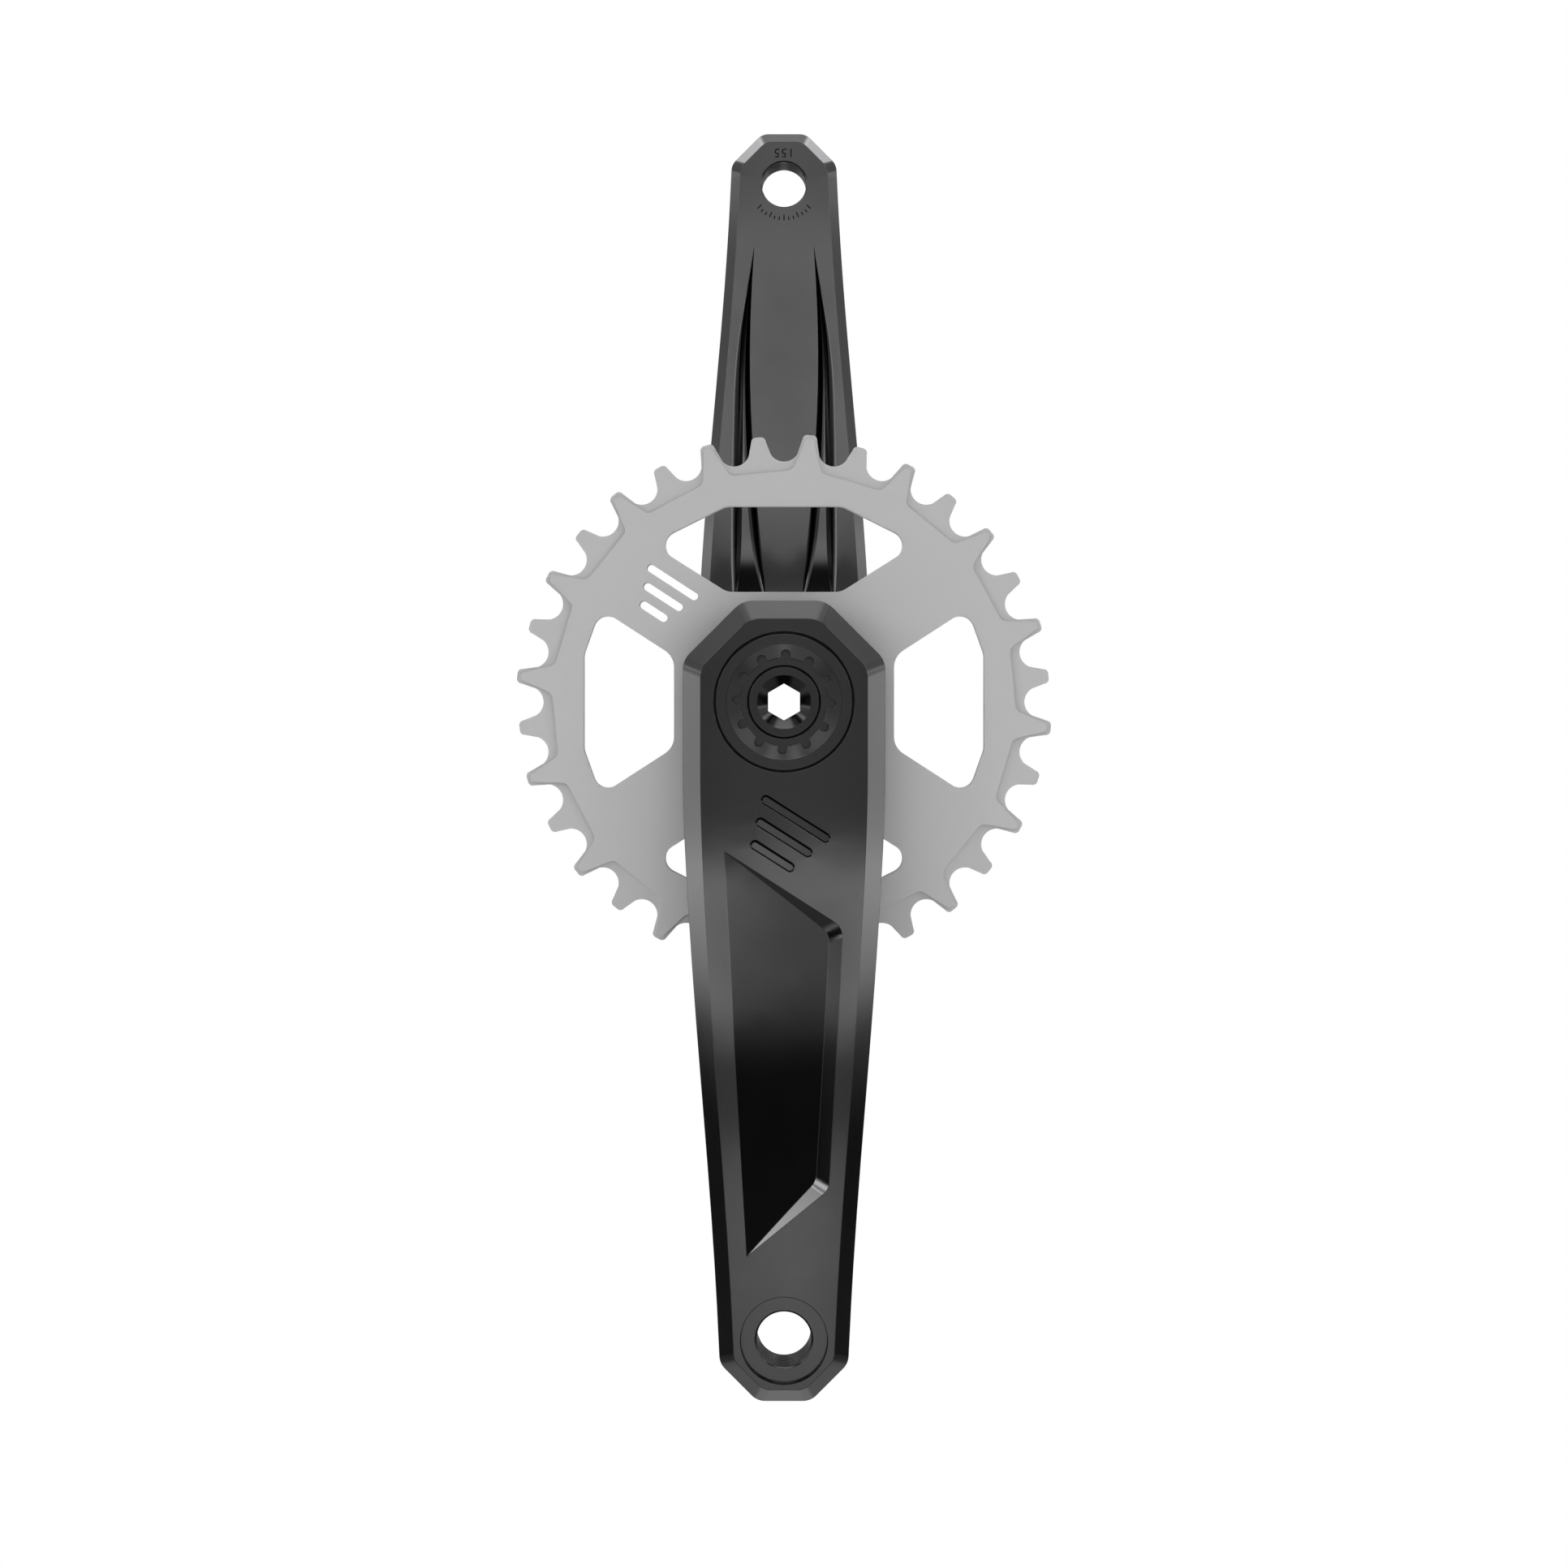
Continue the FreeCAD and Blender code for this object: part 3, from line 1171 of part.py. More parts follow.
def preload_ring():
    """Split nut on the left arm's boss, clamped by a pinch screw through its lug."""
    high, low = evaluate(ADJUSTER_HIGH), evaluate(ADJUSTER_LOW)
    past = mm("run_out")
    radial, tangent = lug_frame()
    axis = Vector(0, 1, 0)
    base = Vector(0, low, 0)
    ring = Part.makeCylinder(mm("adjuster_radius"), high - low, base, axis)
    step = 360.0 / count("grip_count")
    for index in range(count("grip_count")):
        angle = mm("lug_angle") + step * (index + 0.5)
        away = abs((angle - mm("lug_angle") + 180.0) % 360.0 - 180.0)
        if away < mm("grip_clear"):
            continue
        reach = mm("adjuster_radius") + mm("grip_radius") - mm("grip_depth")
        turn = math.radians(angle)
        centre = Vector(reach * math.cos(turn), low - past, reach * math.sin(turn))
        ring = ring.cut(Part.makeCylinder(mm("grip_radius"), high - low + 2 * past, centre, axis))
    inner = mm("adjuster_thread") + mm("adjuster_gap")
    ring = ring.fuse(lug_block(inner / 2, mm("lug_reach"), mm("lug_half"), low, high))
    ring = ring.cut(Part.makeCylinder(inner, high - low + 2 * past, base - axis * past, axis))
    slit = mm("slit_width") / 2
    ring = ring.cut(lug_block(inner / 2, mm("lug_reach") + past, slit, low - past, high + past))
    centre = radial * mm("pinch_place") + axis * ((low + high) / 2)
    gap = mm("pinch_gap")
    reach = mm("lug_half") + past
    hole = Part.makeCylinder(mm("pinch_shank") + gap, 2 * reach, centre - tangent * reach, tangent)
    seat = mm("lug_half") - mm("pinch_head_length")
    sink = Part.makeCylinder(mm("pinch_head") + gap, mm("pinch_head_length") + past,
                             centre + tangent * seat, tangent)
    ring = ring.cut(hole).cut(sink)
    feature = doc.addObject("Part::Feature", "preload_ring")
    feature.Shape = ring.Solids[0] if len(ring.Solids) == 1 else ring
    return keep(feature, "preload_ring")


def preload_pinch_screw():
    radial, tangent = lug_frame()
    middle = (evaluate(ADJUSTER_HIGH) + evaluate(ADJUSTER_LOW)) / 2
    centre = radial * mm("pinch_place") + Vector(0, middle, 0)
    seat = mm("lug_half") - mm("pinch_head_length")
    start = centre + tangent * seat
    length = mm("lug_half") + seat - mm("pinch_short")
    head = Part.makeCylinder(mm("pinch_head"), mm("pinch_head_length"), start, tangent)
    shank = Part.makeCylinder(mm("pinch_shank"), length, start, tangent * -1)
    corners = []
    for index in range(6):
        turn = math.radians(60 * index)
        out = mm("pinch_hex") / 2 / math.cos(math.pi / 6)
        corners.append(radial * (out * math.cos(turn)) + Vector(0, out * math.sin(turn), 0))
    top = start + tangent * mm("pinch_head_length")
    loop = [top + corner for corner in corners]
    socket = Part.Face(Part.makePolygon(loop + loop[:1])).extrude(tangent * -mm("pinch_hex_depth"))
    feature = doc.addObject("Part::Feature", "preload_pinch_screw")
    feature.Shape = head.fuse(shank).cut(socket).removeSplitter()
    return keep(feature, "preload_pinch_screw")


def check_document():
    """Stop if any object failed or any sub-part is empty or invalid."""
    doc.recompute()
    for item in doc.Objects:
        if "Invalid" in item.State or "Error" in item.State:
            raise RuntimeError("failed object: " + item.Label)
    for item in NODES:
        if item.Shape.isNull() or not item.Shape.isValid():
            raise RuntimeError("bad shape: " + item.Label)


def export():
    os.makedirs("parts", exist_ok=True)
    for item in NODES:
        item.Shape.exportStep("parts/%s.step" % item.Label)
        print("%-24s solids %d faces %4d volume %10.1f mm3"
              % (item.Label, len(item.Shape.Solids), len(item.Shape.Faces), item.Shape.Volume))


drive_arm()
left_arm()
spindle()
for side in (DRIVE, LEFT):
    crank_bolt(side)
    bolt_washer(side)
    extractor_cap(side)
chainring()
lockring_washer()
chainring_lockring()
drive_rings()
left_rings()
preload_ring()
preload_pinch_screw()
check_document()
export()
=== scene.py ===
"""Finishes, pedal threads, length mark and studio for a bicycle crankset.

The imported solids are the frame: they keep their place and shape and get their finishes
here. Lengths are metres, X forwards, Z up, Y along the axle with the drive side at -Y.
"""
import bmesh
import bpy
import json
import math
from mathutils import Matrix, Vector
from mathutils.bvhtree import BVHTree


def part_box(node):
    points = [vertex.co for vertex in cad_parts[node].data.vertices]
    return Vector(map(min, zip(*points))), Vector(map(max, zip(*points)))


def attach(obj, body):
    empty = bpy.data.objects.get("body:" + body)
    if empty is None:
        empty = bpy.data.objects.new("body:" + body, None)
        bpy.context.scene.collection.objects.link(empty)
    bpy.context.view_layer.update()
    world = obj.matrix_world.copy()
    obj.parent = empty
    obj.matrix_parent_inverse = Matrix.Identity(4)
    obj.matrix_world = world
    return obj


bl_info = {
    "name": "Crankset Finisher",
    "version": (1, 0, 0),
    "blender": (4, 5, 0),
    "location": "View3D > Sidebar > Crankset",
    "description": "Finishes a bicycle crankset and sets up its studio",
    "category": "Object",
}

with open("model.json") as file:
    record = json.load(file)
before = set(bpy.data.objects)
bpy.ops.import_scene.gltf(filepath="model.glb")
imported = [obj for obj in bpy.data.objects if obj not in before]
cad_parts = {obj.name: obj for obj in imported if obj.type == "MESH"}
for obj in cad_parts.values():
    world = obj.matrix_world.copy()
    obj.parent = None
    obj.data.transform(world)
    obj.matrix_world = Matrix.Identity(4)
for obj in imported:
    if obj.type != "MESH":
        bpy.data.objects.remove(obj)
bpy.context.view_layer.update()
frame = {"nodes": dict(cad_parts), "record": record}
MM = 0.001

PEDAL_MOUNTS = {mount["name"]: mount for mount in frame["record"]["mounts"]
                if mount["name"].endswith("pedal_thread")}
LEFT_PEDAL = Vector(PEDAL_MOUNTS["left_pedal_thread"]["pos_m"])
PEDAL_BORE = PEDAL_MOUNTS["left_pedal_thread"]["dims"]["r_mm"] * MM

# Pedal holes: washer seat in the outer face, the painted shade line along its edge with its blur and
# strength, and plain ends of the thread
SEAT_DEPTH = 1.5 * MM
SEAT_RADIUS = 10.6 * MM
SEAT_SHADE_LINE = (SEAT_RADIUS - 0.05 * MM, SEAT_RADIUS + 0.1 * MM)
SEAT_SHADE_BLUR = 0.05 * MM
SEAT_SHADE_STRENGTH = 0.8
THREAD_LEAD_IN = 0.5 * MM

# Where the cut finish of a pedal hole ends and where it is full, and how much rougher it is
CUT_FINISH = (PEDAL_BORE + 0.3 * MM, PEDAL_BORE + 0.1 * MM)
CUT_ROUGHNESS = 0.2

# Thread's ridge: half of its foot as a share of the pitch, its crest as a share of its foot,
# and how far the foot sinks into the wall
RIDGE_FOOT = 0.36
RIDGE_CREST = 0.3
RIDGE_SINK = 0.02 * MM

# Number and ticks: height and spacing of a digit in the font, and the ticks' rhythm
DIGIT_SHARE = 0.69
DIGIT_SPACING = 1.12
LONG_TICK_EVERY = 3
SHORT_TICK = 0.6

WHITE = (1.0, 1.0, 1.0, 1.0)


# Shader expressions


class Signal:
    """An output socket that takes part in Python expressions."""

    def __init__(self, tree, socket):
        self.tree = tree
        self.socket = socket

    def math(self, operation, *operands):
        return self.tree.math(operation, self, *operands)

    def __add__(self, other):
        return self.math("ADD", other)

    __radd__ = __add__

    def __sub__(self, other):
        return self.math("SUBTRACT", other)

    def __rsub__(self, other):
        return self.tree.math("SUBTRACT", other, self)

    def __mul__(self, other):
        return self.math("MULTIPLY", other)

    __rmul__ = __mul__

    def __abs__(self):
        return self.math("ABSOLUTE")

    def least(self, other):
        return self.math("MINIMUM", other)

    def rise(self, start, end):
        """0 below start, 1 above end, with a soft step between; start may be the larger."""
        inputs = {"Value": self, "From Min": start, "From Max": end}
        return self.tree.add("ShaderNodeMapRange", {"interpolation_type": "SMOOTHSTEP"}, inputs)

    def band(self, low, high, soft):
        """1 between low and high, fading to 0 over soft on either side."""
        return self.rise(low - soft, low + soft) * self.rise(high + soft, high - soft)


class Tree:
    """Node tree of a material or a world, emptied and filled by expressions."""

    # Sockets of a Mix node that belong to colours
    MIX_LOW, MIX_HIGH, MIX_RESULT = 6, 7, 2

    def __init__(self, owner):
        owner.use_nodes = True
        self.nodes = owner.node_tree.nodes
        self.links = owner.node_tree.links
        self.nodes.clear()

    def add(self, kind, settings=None, inputs=None, output=0):
        """Add a node: settings first, then values or links of its sockets."""
        node = self.nodes.new(kind)
        for name, value in (settings or {}).items():
            setattr(node, name, value)
        for name, value in (inputs or {}).items():
            if isinstance(value, Signal):
                self.links.new(value.socket, node.inputs[name])
            else:
                node.inputs[name].default_value = value
        return Signal(self, node.outputs[output]) if node.outputs else None

    def math(self, operation, *operands):
        return self.add("ShaderNodeMath", {"operation": operation}, dict(enumerate(operands)))

    def coordinates(self):
        """Object coordinates as a vector and as three numbers."""
        place = self.add("ShaderNodeTexCoord", output="Object")
        return place, self.parts(place)

    def parts(self, vector):
        """The three numbers of a vector."""
        node = self.nodes.new("ShaderNodeSeparateXYZ")
        self.links.new(vector.socket, node.inputs[0])
        return [Signal(self, socket) for socket in node.outputs]

    def noise(self, place, size, detail=2.0):
        """Noise between 0 and 1 whose lumps are about as large as the size."""
        inputs = {"Vector": place, "Scale": 1.0 / size, "Detail": detail}
        return self.add("ShaderNodeTexNoise", None, inputs)

    def tint(self, factor, low, high):
        """Colour between low and high, each written or another tint, by a factor."""
        low, high = [end if isinstance(end, Signal) else (*end, 1.0) for end in (low, high)]
        inputs = {"Factor": factor, self.MIX_LOW: low, self.MIX_HIGH: high}
        return self.add("ShaderNodeMix", {"data_type": "RGBA"}, inputs, output=self.MIX_RESULT)

    def rounded(self, radius):
        """Normal with the edges rounded off."""
        return self.add("ShaderNodeBevel", {"samples": 8}, {"Radius": radius})

    def bump(self, height, distance, normal):
        """Normal with a height from 0 to 1 raised to the distance."""
        inputs = {"Height": height, "Distance": distance, "Strength": 1.0, "Normal": normal}
        return self.add("ShaderNodeBump", None, inputs)

    def surface(self, **sockets):
        """Principled surface whose socket names are written with underscores."""
        inputs = {name.replace("_", " ").title(): value for name, value in sockets.items()}
        shader = self.add("ShaderNodeBsdfPrincipled", None, inputs)
        self.add("ShaderNodeOutputMaterial", None, {"Surface": shader})


# Finishes


# How far a metal's tone drifts, and what is left of it where shade is painted down in a gap
TONE_DRIFT = 0.06
PAINTED_SHADE_TONE = 0.08

# Openness at which the painted shade in a gap is full, and at which a surface gets none of it
PAINTED_SHADE_FULL, PAINTED_SHADE_NONE = 0.18, 0.6

# Finish of each turned piece of aluminium or black steel: shares of the arms' colour and
# roughness, pitch of the turning marks, and its nodes
TURNED_PIECES = [
    ("turned_cap", 1.0, 1.0, 0.35 * MM, ["drive_extractor_cap", "left_extractor_cap"]),
    ("black_oxide_bolt", 0.85, 0.9, 0.25 * MM, ["drive_crank_bolt", "left_crank_bolt"]),
    ("turned_nut", 1.0, 1.1, 0.3 * MM, ["chainring_lockring"]),
    ("turned_adjuster", 1.1, 1.1, 0.3 * MM, ["preload_ring"]),
    ("turned_spacer", 1.3, 1.2, 0.22 * MM, ["drive_spacer", "drive_shim", "left_spacer"]),
]

# Finish of each plain steel piece: colour, roughness, pitch of the turning marks, and its nodes
STEEL_PIECES = [
    ("dark_ground_steel", 0.16, 0.30, 0.5 * MM, ["spindle"]),
    ("plain_steel", 0.52, 0.32, 0.3 * MM,
     ["drive_bolt_washer", "left_bolt_washer", "lockring_washer", "thrust_washer"]),
    ("screw_steel", 0.34, 0.28, 0.4 * MM, ["preload_pinch_screw"]),
]


def new_material(name):
    """An empty material and its node tree."""
    material = bpy.data.materials.new(name)
    return material, Tree(material)


def grey(level):
    """A neutral colour with the faint blue of dark anodising."""
    return (level, level, level * 1.02)


def painted_shade_free(tree, reach):
    """Share free of painted shade: 1 on open surfaces, 0 down in gaps that are narrower than the
    reach.
    """
    openness = tree.add("ShaderNodeAmbientOcclusion", {"samples": 6}, {"Distance": reach}, output="AO")
    return openness.rise(PAINTED_SHADE_FULL, PAINTED_SHADE_NONE)


def tone_and_painted_shade(tree, level, cloud, clear):
    """A grey that drifts with the cloud, and goes nearly black as painted shade where its clear share
    is 0.
    """
    drifting = tree.tint(cloud, grey(level * (1 - TONE_DRIFT)), grey(level * (1 + TONE_DRIFT)))
    return tree.tint(clear, grey(level * PAINTED_SHADE_TONE), drifting)


def pedal_distance(tree, x, z):
    """Distance from the axis of the nearer pedal hole."""
    up = abs(z) - LEFT_PEDAL.z
    return tree.math("SQRT", x * x + up * up)


def turned_lines(tree, x, z, pitch):
    """Height of fine turning marks around the axle."""
    radius = tree.math("SQRT", x * x + z * z)
    return tree.math("SINE", radius * (2 * math.pi / pitch))


def forged_anodised(finish):
    """Satin black anodising on a blasted forging, rougher in the threaded pedal holes, with painted
    shade in its gaps and along the washer seats' edges.
    """
    material, tree = new_material("forged_anodised")
    place, (x, y, z) = tree.coordinates()
    cloud = tree.noise(place, finish.cloud_size)
    grain = tree.noise(place, finish.grain_size, detail=3.0)
    normal = tree.bump(grain, finish.grain_depth, tree.rounded(finish.edge_radius))
    away = pedal_distance(tree, x, z)
    in_hole = away.rise(*CUT_FINISH)
    outer_half = abs(y).rise(LEFT_PEDAL.y, LEFT_PEDAL.y + 1 * MM)
    # Painted shade: a dark line along the washer seat's edge on the outer half, and darkening down in
    # narrow gaps
    seat_shade = away.band(*SEAT_SHADE_LINE, SEAT_SHADE_BLUR) * outer_half
    clear = painted_shade_free(tree, finish.painted_shade_reach) * (1 - seat_shade * SEAT_SHADE_STRENGTH)
    uneven = (cloud - 0.5) * 0.04 + (grain - 0.5) * 0.03
    tree.surface(
        base_color=tone_and_painted_shade(tree, finish.arm_level, cloud, clear),
        metallic=1.0,
        roughness=uneven + in_hole * CUT_ROUGHNESS + finish.arm_roughness,
        normal=normal)
    return material


def turned_metal(finish, name, level, roughness, pitch):
    """Metal with fine turning marks around the axle, and painted shade down in its gaps."""
    material, tree = new_material(name)
    place, (x, _, z) = tree.coordinates()
    cloud = tree.noise(place, finish.cloud_size)
    lines = turned_lines(tree, x, z, pitch)
    normal = tree.bump(lines, finish.turning_depth, tree.rounded(finish.edge_radius * 0.6))
    tree.surface(
        # Painted shade: the colour goes nearly black down in narrow gaps
        base_color=tone_and_painted_shade(tree, level, cloud, painted_shade_free(tree, finish.painted_shade_reach)),
        metallic=1.0,
        roughness=roughness + lines * 0.015 + (cloud - 0.5) * 0.05,
        normal=normal)
    return material


def ring_anodised(finish):
    """Satin light grey anodising on a machined plate, with faint arcs from the cutter."""
    material, tree = new_material("ring_anodised")
    place, (x, _, z) = tree.coordinates()
    cloud = tree.noise(place, finish.cloud_size * 2)
    grain = tree.noise(place, finish.grain_size * 1.5, detail=3.0)
    arcs = turned_lines(tree, x, z, finish.arc_pitch)
    normal = tree.bump(grain + arcs * 0.08, finish.grain_depth, tree.rounded(finish.edge_radius * 0.8))
    level = finish.ring_level
    tree.surface(
        base_color=tree.tint(cloud, (level * 0.985,) * 3, (level * 1.015,) * 3),
        metallic=finish.ring_metallic,
        roughness=finish.ring_roughness + (grain - 0.5) * 0.06,
        normal=normal)
    return material


def moulded_plastic(finish):
    """Fine-textured black plastic."""
    material, tree = new_material("moulded_plastic")
    place, _ = tree.coordinates()
    grain = tree.noise(place, 0.35 * MM, detail=3.0)
    normal = tree.bump(grain, finish.grain_depth * 3, tree.rounded(finish.edge_radius))
    level = finish.plastic_level
    tree.surface(
        base_color=tree.tint(grain, grey(level * 0.9), grey(level * 1.1)),
        metallic=0.0,
        roughness=0.5 + (grain - 0.5) * 0.15,
        normal=normal)
    return material


def etched_black():
    """Matt black of the marks on the left arm."""
    material, tree = new_material("etched_mark")
    place, _ = tree.coordinates()
    grain = tree.noise(place, 0.1 * MM)
    tree.surface(
        base_color=tree.tint(grain, grey(0.012), grey(0.02)),
        metallic=1.0,
        roughness=0.5 + (grain - 0.5) * 0.1)
    return material


def give(material, nodes):
    """Put a finish on CAD nodes through their own material slots."""
    for name in nodes:
        for slot in frame["nodes"][name].material_slots:
            slot.link = "OBJECT"
            slot.material = material


# Settings that a user would change


class FinishSettings(bpy.types.PropertyGroup):
    """Colours, gloss and fine texture of the finishes."""

    arm_level: bpy.props.FloatProperty(
        name="Arm colour", description="Reflectance of the black anodising",
        default=0.07, min=0.0, max=1.0, precision=3)
    arm_roughness: bpy.props.FloatProperty(
        name="Arm roughness", description="Spread of the arms' reflections",
        default=0.15, min=0.0, max=1.0)
    ring_level: bpy.props.FloatProperty(
        name="Chainring colour", description="Lightness of the chainring's anodising",
        default=0.5, min=0.0, max=1.0)
    ring_metallic: bpy.props.FloatProperty(
        name="Chainring metal", description="Share of metal in the chainring's surface",
        default=0.0, min=0.0, max=1.0)
    ring_roughness: bpy.props.FloatProperty(
        name="Chainring roughness", description="Spread of the chainring's reflections",
        default=0.55, min=0.0, max=1.0)
    plastic_level: bpy.props.FloatProperty(
        name="Plastic colour", description="Lightness of the bearing shields",
        default=0.02, min=0.0, max=1.0)
    edge_radius: bpy.props.FloatProperty(
        name="Edge radius", description="Rounding that catches light along the edges",
        default=0.2 * MM, min=0.0, unit="LENGTH", precision=5)
    grain_size: bpy.props.FloatProperty(
        name="Grain size", description="Size of the blasted grain",
        default=0.18 * MM, min=0.0, unit="LENGTH", precision=5)
    grain_depth: bpy.props.FloatProperty(
        name="Grain depth", description="Depth of the blasted grain",
        default=0.0012 * MM, min=0.0, unit="LENGTH", precision=7)
    # Painted shade: gaps narrower than this get a darkened colour
    painted_shade_reach: bpy.props.FloatProperty(
        name="Gap reach", description="Width of the gaps that go dark",
        default=1.4 * MM, min=0.0, unit="LENGTH", precision=5)
    turning_depth: bpy.props.FloatProperty(
        name="Turning depth", description="Depth of the turning marks",
        default=0.0006 * MM, min=0.0, unit="LENGTH", precision=7)
    arc_pitch: bpy.props.FloatProperty(
        name="Arc pitch", description="Distance between the cutter's arcs on the chainring",
        default=0.8 * MM, min=0.0, unit="LENGTH", precision=5)
    cloud_size: bpy.props.FloatProperty(
        name="Cloud size", description="Size of the slow changes in tone",
        default=14 * MM, min=0.0, unit="LENGTH", precision=4)


class ThreadSettings(bpy.types.PropertyGroup):
    """Threads of the two pedal holes."""

    pitch: bpy.props.FloatProperty(
        name="Pitch", description="Distance between turns, 20 to the inch",
        default=1.27 * MM, min=0.0, unit="LENGTH", precision=5)
    height: bpy.props.FloatProperty(
        name="Height", description="How far the ridge stands into the bore",
        default=0.14 * MM, min=0.0, unit="LENGTH", precision=5)
    steps: bpy.props.IntProperty(
        name="Steps", description="Sections in one turn", default=96, min=12)


class MarkSettings(bpy.types.PropertyGroup):
    """Length number and ticks on the left arm's pedal end."""

    text: bpy.props.StringProperty(
        name="Number", description="Length of the arm in millimetres", default="155")
    height: bpy.props.FloatProperty(
        name="Digit height", description="Height of a digit",
        default=2.6 * MM, min=0.0, unit="LENGTH", precision=4)
    offset: bpy.props.FloatProperty(
        name="Number offset", description="Pedal axis to the number's middle",
        default=9.6 * MM, min=0.0, unit="LENGTH", precision=4)
    thickness: bpy.props.FloatProperty(
        name="Thickness", description="How far the etched marks stand out of the arm",
        default=0.03 * MM, min=0.0, unit="LENGTH", precision=5)
    tick_count: bpy.props.IntProperty(
        name="Ticks", description="Short ticks under the pedal hole", default=13, min=2)
    tick_radius: bpy.props.FloatProperty(
        name="Tick radius", description="Pedal axis to a long tick's middle",
        default=9.9 * MM, min=0.0, unit="LENGTH", precision=4)
    tick_length: bpy.props.FloatProperty(
        name="Tick length", description="Length of a long tick",
        default=1.7 * MM, min=0.0, unit="LENGTH", precision=4)
    tick_width: bpy.props.FloatProperty(
        name="Tick width", description="Width of a tick",
        default=0.34 * MM, min=0.0, unit="LENGTH", precision=5)
    tick_spread: bpy.props.FloatProperty(
        name="Tick spread", description="Angle that the row of ticks covers",
        default=math.radians(96), min=0.0, subtype="ANGLE")


class StudioSettings(bpy.types.PropertyGroup):
    """Camera, floor and light."""

    lens: bpy.props.FloatProperty(
        name="Lens", description="Focal length in millimetres", default=61.85, min=1.0)
    distance: bpy.props.FloatProperty(
        name="Distance", description="Camera to the centre plane, along the axle",
        default=0.7375, min=0.1, unit="LENGTH")
    shift: bpy.props.FloatProperty(
        name="Shift", description="Upward shift of the lens", default=-0.0523, precision=4)
    floor: bpy.props.FloatProperty(
        name="Floor", description="Height of the floor", default=-0.30, unit="LENGTH")
    floor_reach: bpy.props.FloatProperty(
        name="Floor reach", description="Radius of the floor", default=1.6, min=0.1, unit="LENGTH")
    shadow_reach: bpy.props.FloatProperty(
        name="Shadow reach", description="Radius of the floor that shows a shadow",
        default=0.17, min=0.0, unit="LENGTH")
    floor_level: bpy.props.FloatProperty(
        name="Floor colour", description="Lightness of the floor",
        default=0.82, min=0.0, max=1.0)
    strength: bpy.props.FloatProperty(
        name="Strength", description="Level of the studio's light", default=1.0, min=0.0)


# Operators


class CRANKSET_OT_finish_arms(bpy.types.Operator):
    """Anodise both forged arms"""
    bl_idname = "crankset.finish_arms"
    bl_label = "Finish Arms"

    def execute(self, context):
        give(forged_anodised(context.scene.crankset_finish), ["drive_arm", "left_arm"])
        return {"FINISHED"}


class CRANKSET_OT_finish_turned_parts(bpy.types.Operator):
    """Finish the caps, bolts, nut, adjuster and spacers"""
    bl_idname = "crankset.finish_turned_parts"
    bl_label = "Finish Turned Parts"

    def execute(self, context):
        finish = context.scene.crankset_finish
        for name, level, roughness, pitch, nodes in TURNED_PIECES:
            level, roughness = level * finish.arm_level, roughness * finish.arm_roughness
            give(turned_metal(finish, name, level, roughness, pitch), nodes)
        return {"FINISHED"}


class CRANKSET_OT_finish_steel(bpy.types.Operator):
    """Finish the spindle, washers and pinch screw"""
    bl_idname = "crankset.finish_steel"
    bl_label = "Finish Steel"

    def execute(self, context):
        for name, level, roughness, pitch, nodes in STEEL_PIECES:
            give(turned_metal(context.scene.crankset_finish, name, level, roughness, pitch), nodes)
        return {"FINISHED"}


class CRANKSET_OT_finish_chainring(bpy.types.Operator):
    """Anodise the chainring"""
    bl_idname = "crankset.finish_chainring"
    bl_label = "Finish Chainring"

    def execute(self, context):
        give(ring_anodised(context.scene.crankset_finish), ["chainring"])
        return {"FINISHED"}


class CRANKSET_OT_finish_shields(bpy.types.Operator):
    """Give the bearing shields their plastic"""
    bl_idname = "crankset.finish_shields"
    bl_label = "Finish Shields"

    def execute(self, context):
        plastic = moulded_plastic(context.scene.crankset_finish)
        give(plastic, ["drive_bearing_shield", "left_bearing_shield"])
        return {"FINISHED"}


class CRANKSET_OT_cut_pedal_threads(bpy.types.Operator):
    """Wind the fine threads into both pedal holes"""
    bl_idname = "crankset.cut_pedal_threads"
    bl_label = "Cut Pedal Threads"

    def execute(self, context):
        settings = context.scene.crankset_thread
        material = frame["nodes"]["drive_arm"].material_slots[0].material
        for side, hand in (("drive", 1), ("left", -1)):
            piece = thread_ridge(side, hand, settings)
            piece.data.materials.append(material)
            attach(piece, "root")
        return {"FINISHED"}


def thread_ridge(side, hand, settings):
    """Helical ridge on the wall of one pedal hole; hand is 1 for a right-hand thread."""
    low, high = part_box(side + "_arm")
    outward = -1 if side == "drive" else 1
    centre = Vector(PEDAL_MOUNTS[side + "_pedal_thread"]["pos_m"])
    face = abs(low.y if outward < 0 else high.y)
    seat = face - SEAT_DEPTH
    start = seat - THREAD_LEAD_IN - settings.pitch / 2
    depth = 2 * (seat - abs(centre.y)) - 2 * THREAD_LEAD_IN - settings.pitch
    turns = depth / settings.pitch
    steps = round(turns * settings.steps)
    inner, wall = PEDAL_BORE - settings.height, PEDAL_BORE + RIDGE_SINK
    foot = settings.pitch * RIDGE_FOOT
    crest = foot * RIDGE_CREST
    mesh = bmesh.new()
    profile = [(wall, -foot), (inner, -crest), (inner, crest), (wall, foot)]
    corners = [mesh.verts.new((centre.x + radius, outward * (start + along), centre.z))
               for radius, along in profile]
    mesh.faces.new(corners)
    travel = Vector((0, -outward * depth / steps, 0))
    bmesh.ops.spin(
        mesh, geom=mesh.faces[:] + mesh.edges[:] + mesh.verts[:], cent=centre,
        axis=(0, -outward * hand, 0), dvec=travel, angle=2 * math.pi * turns, steps=steps)
    bmesh.ops.recalc_face_normals(mesh, faces=mesh.faces)
    return finished(mesh, side + "_pedal_hole_thread")


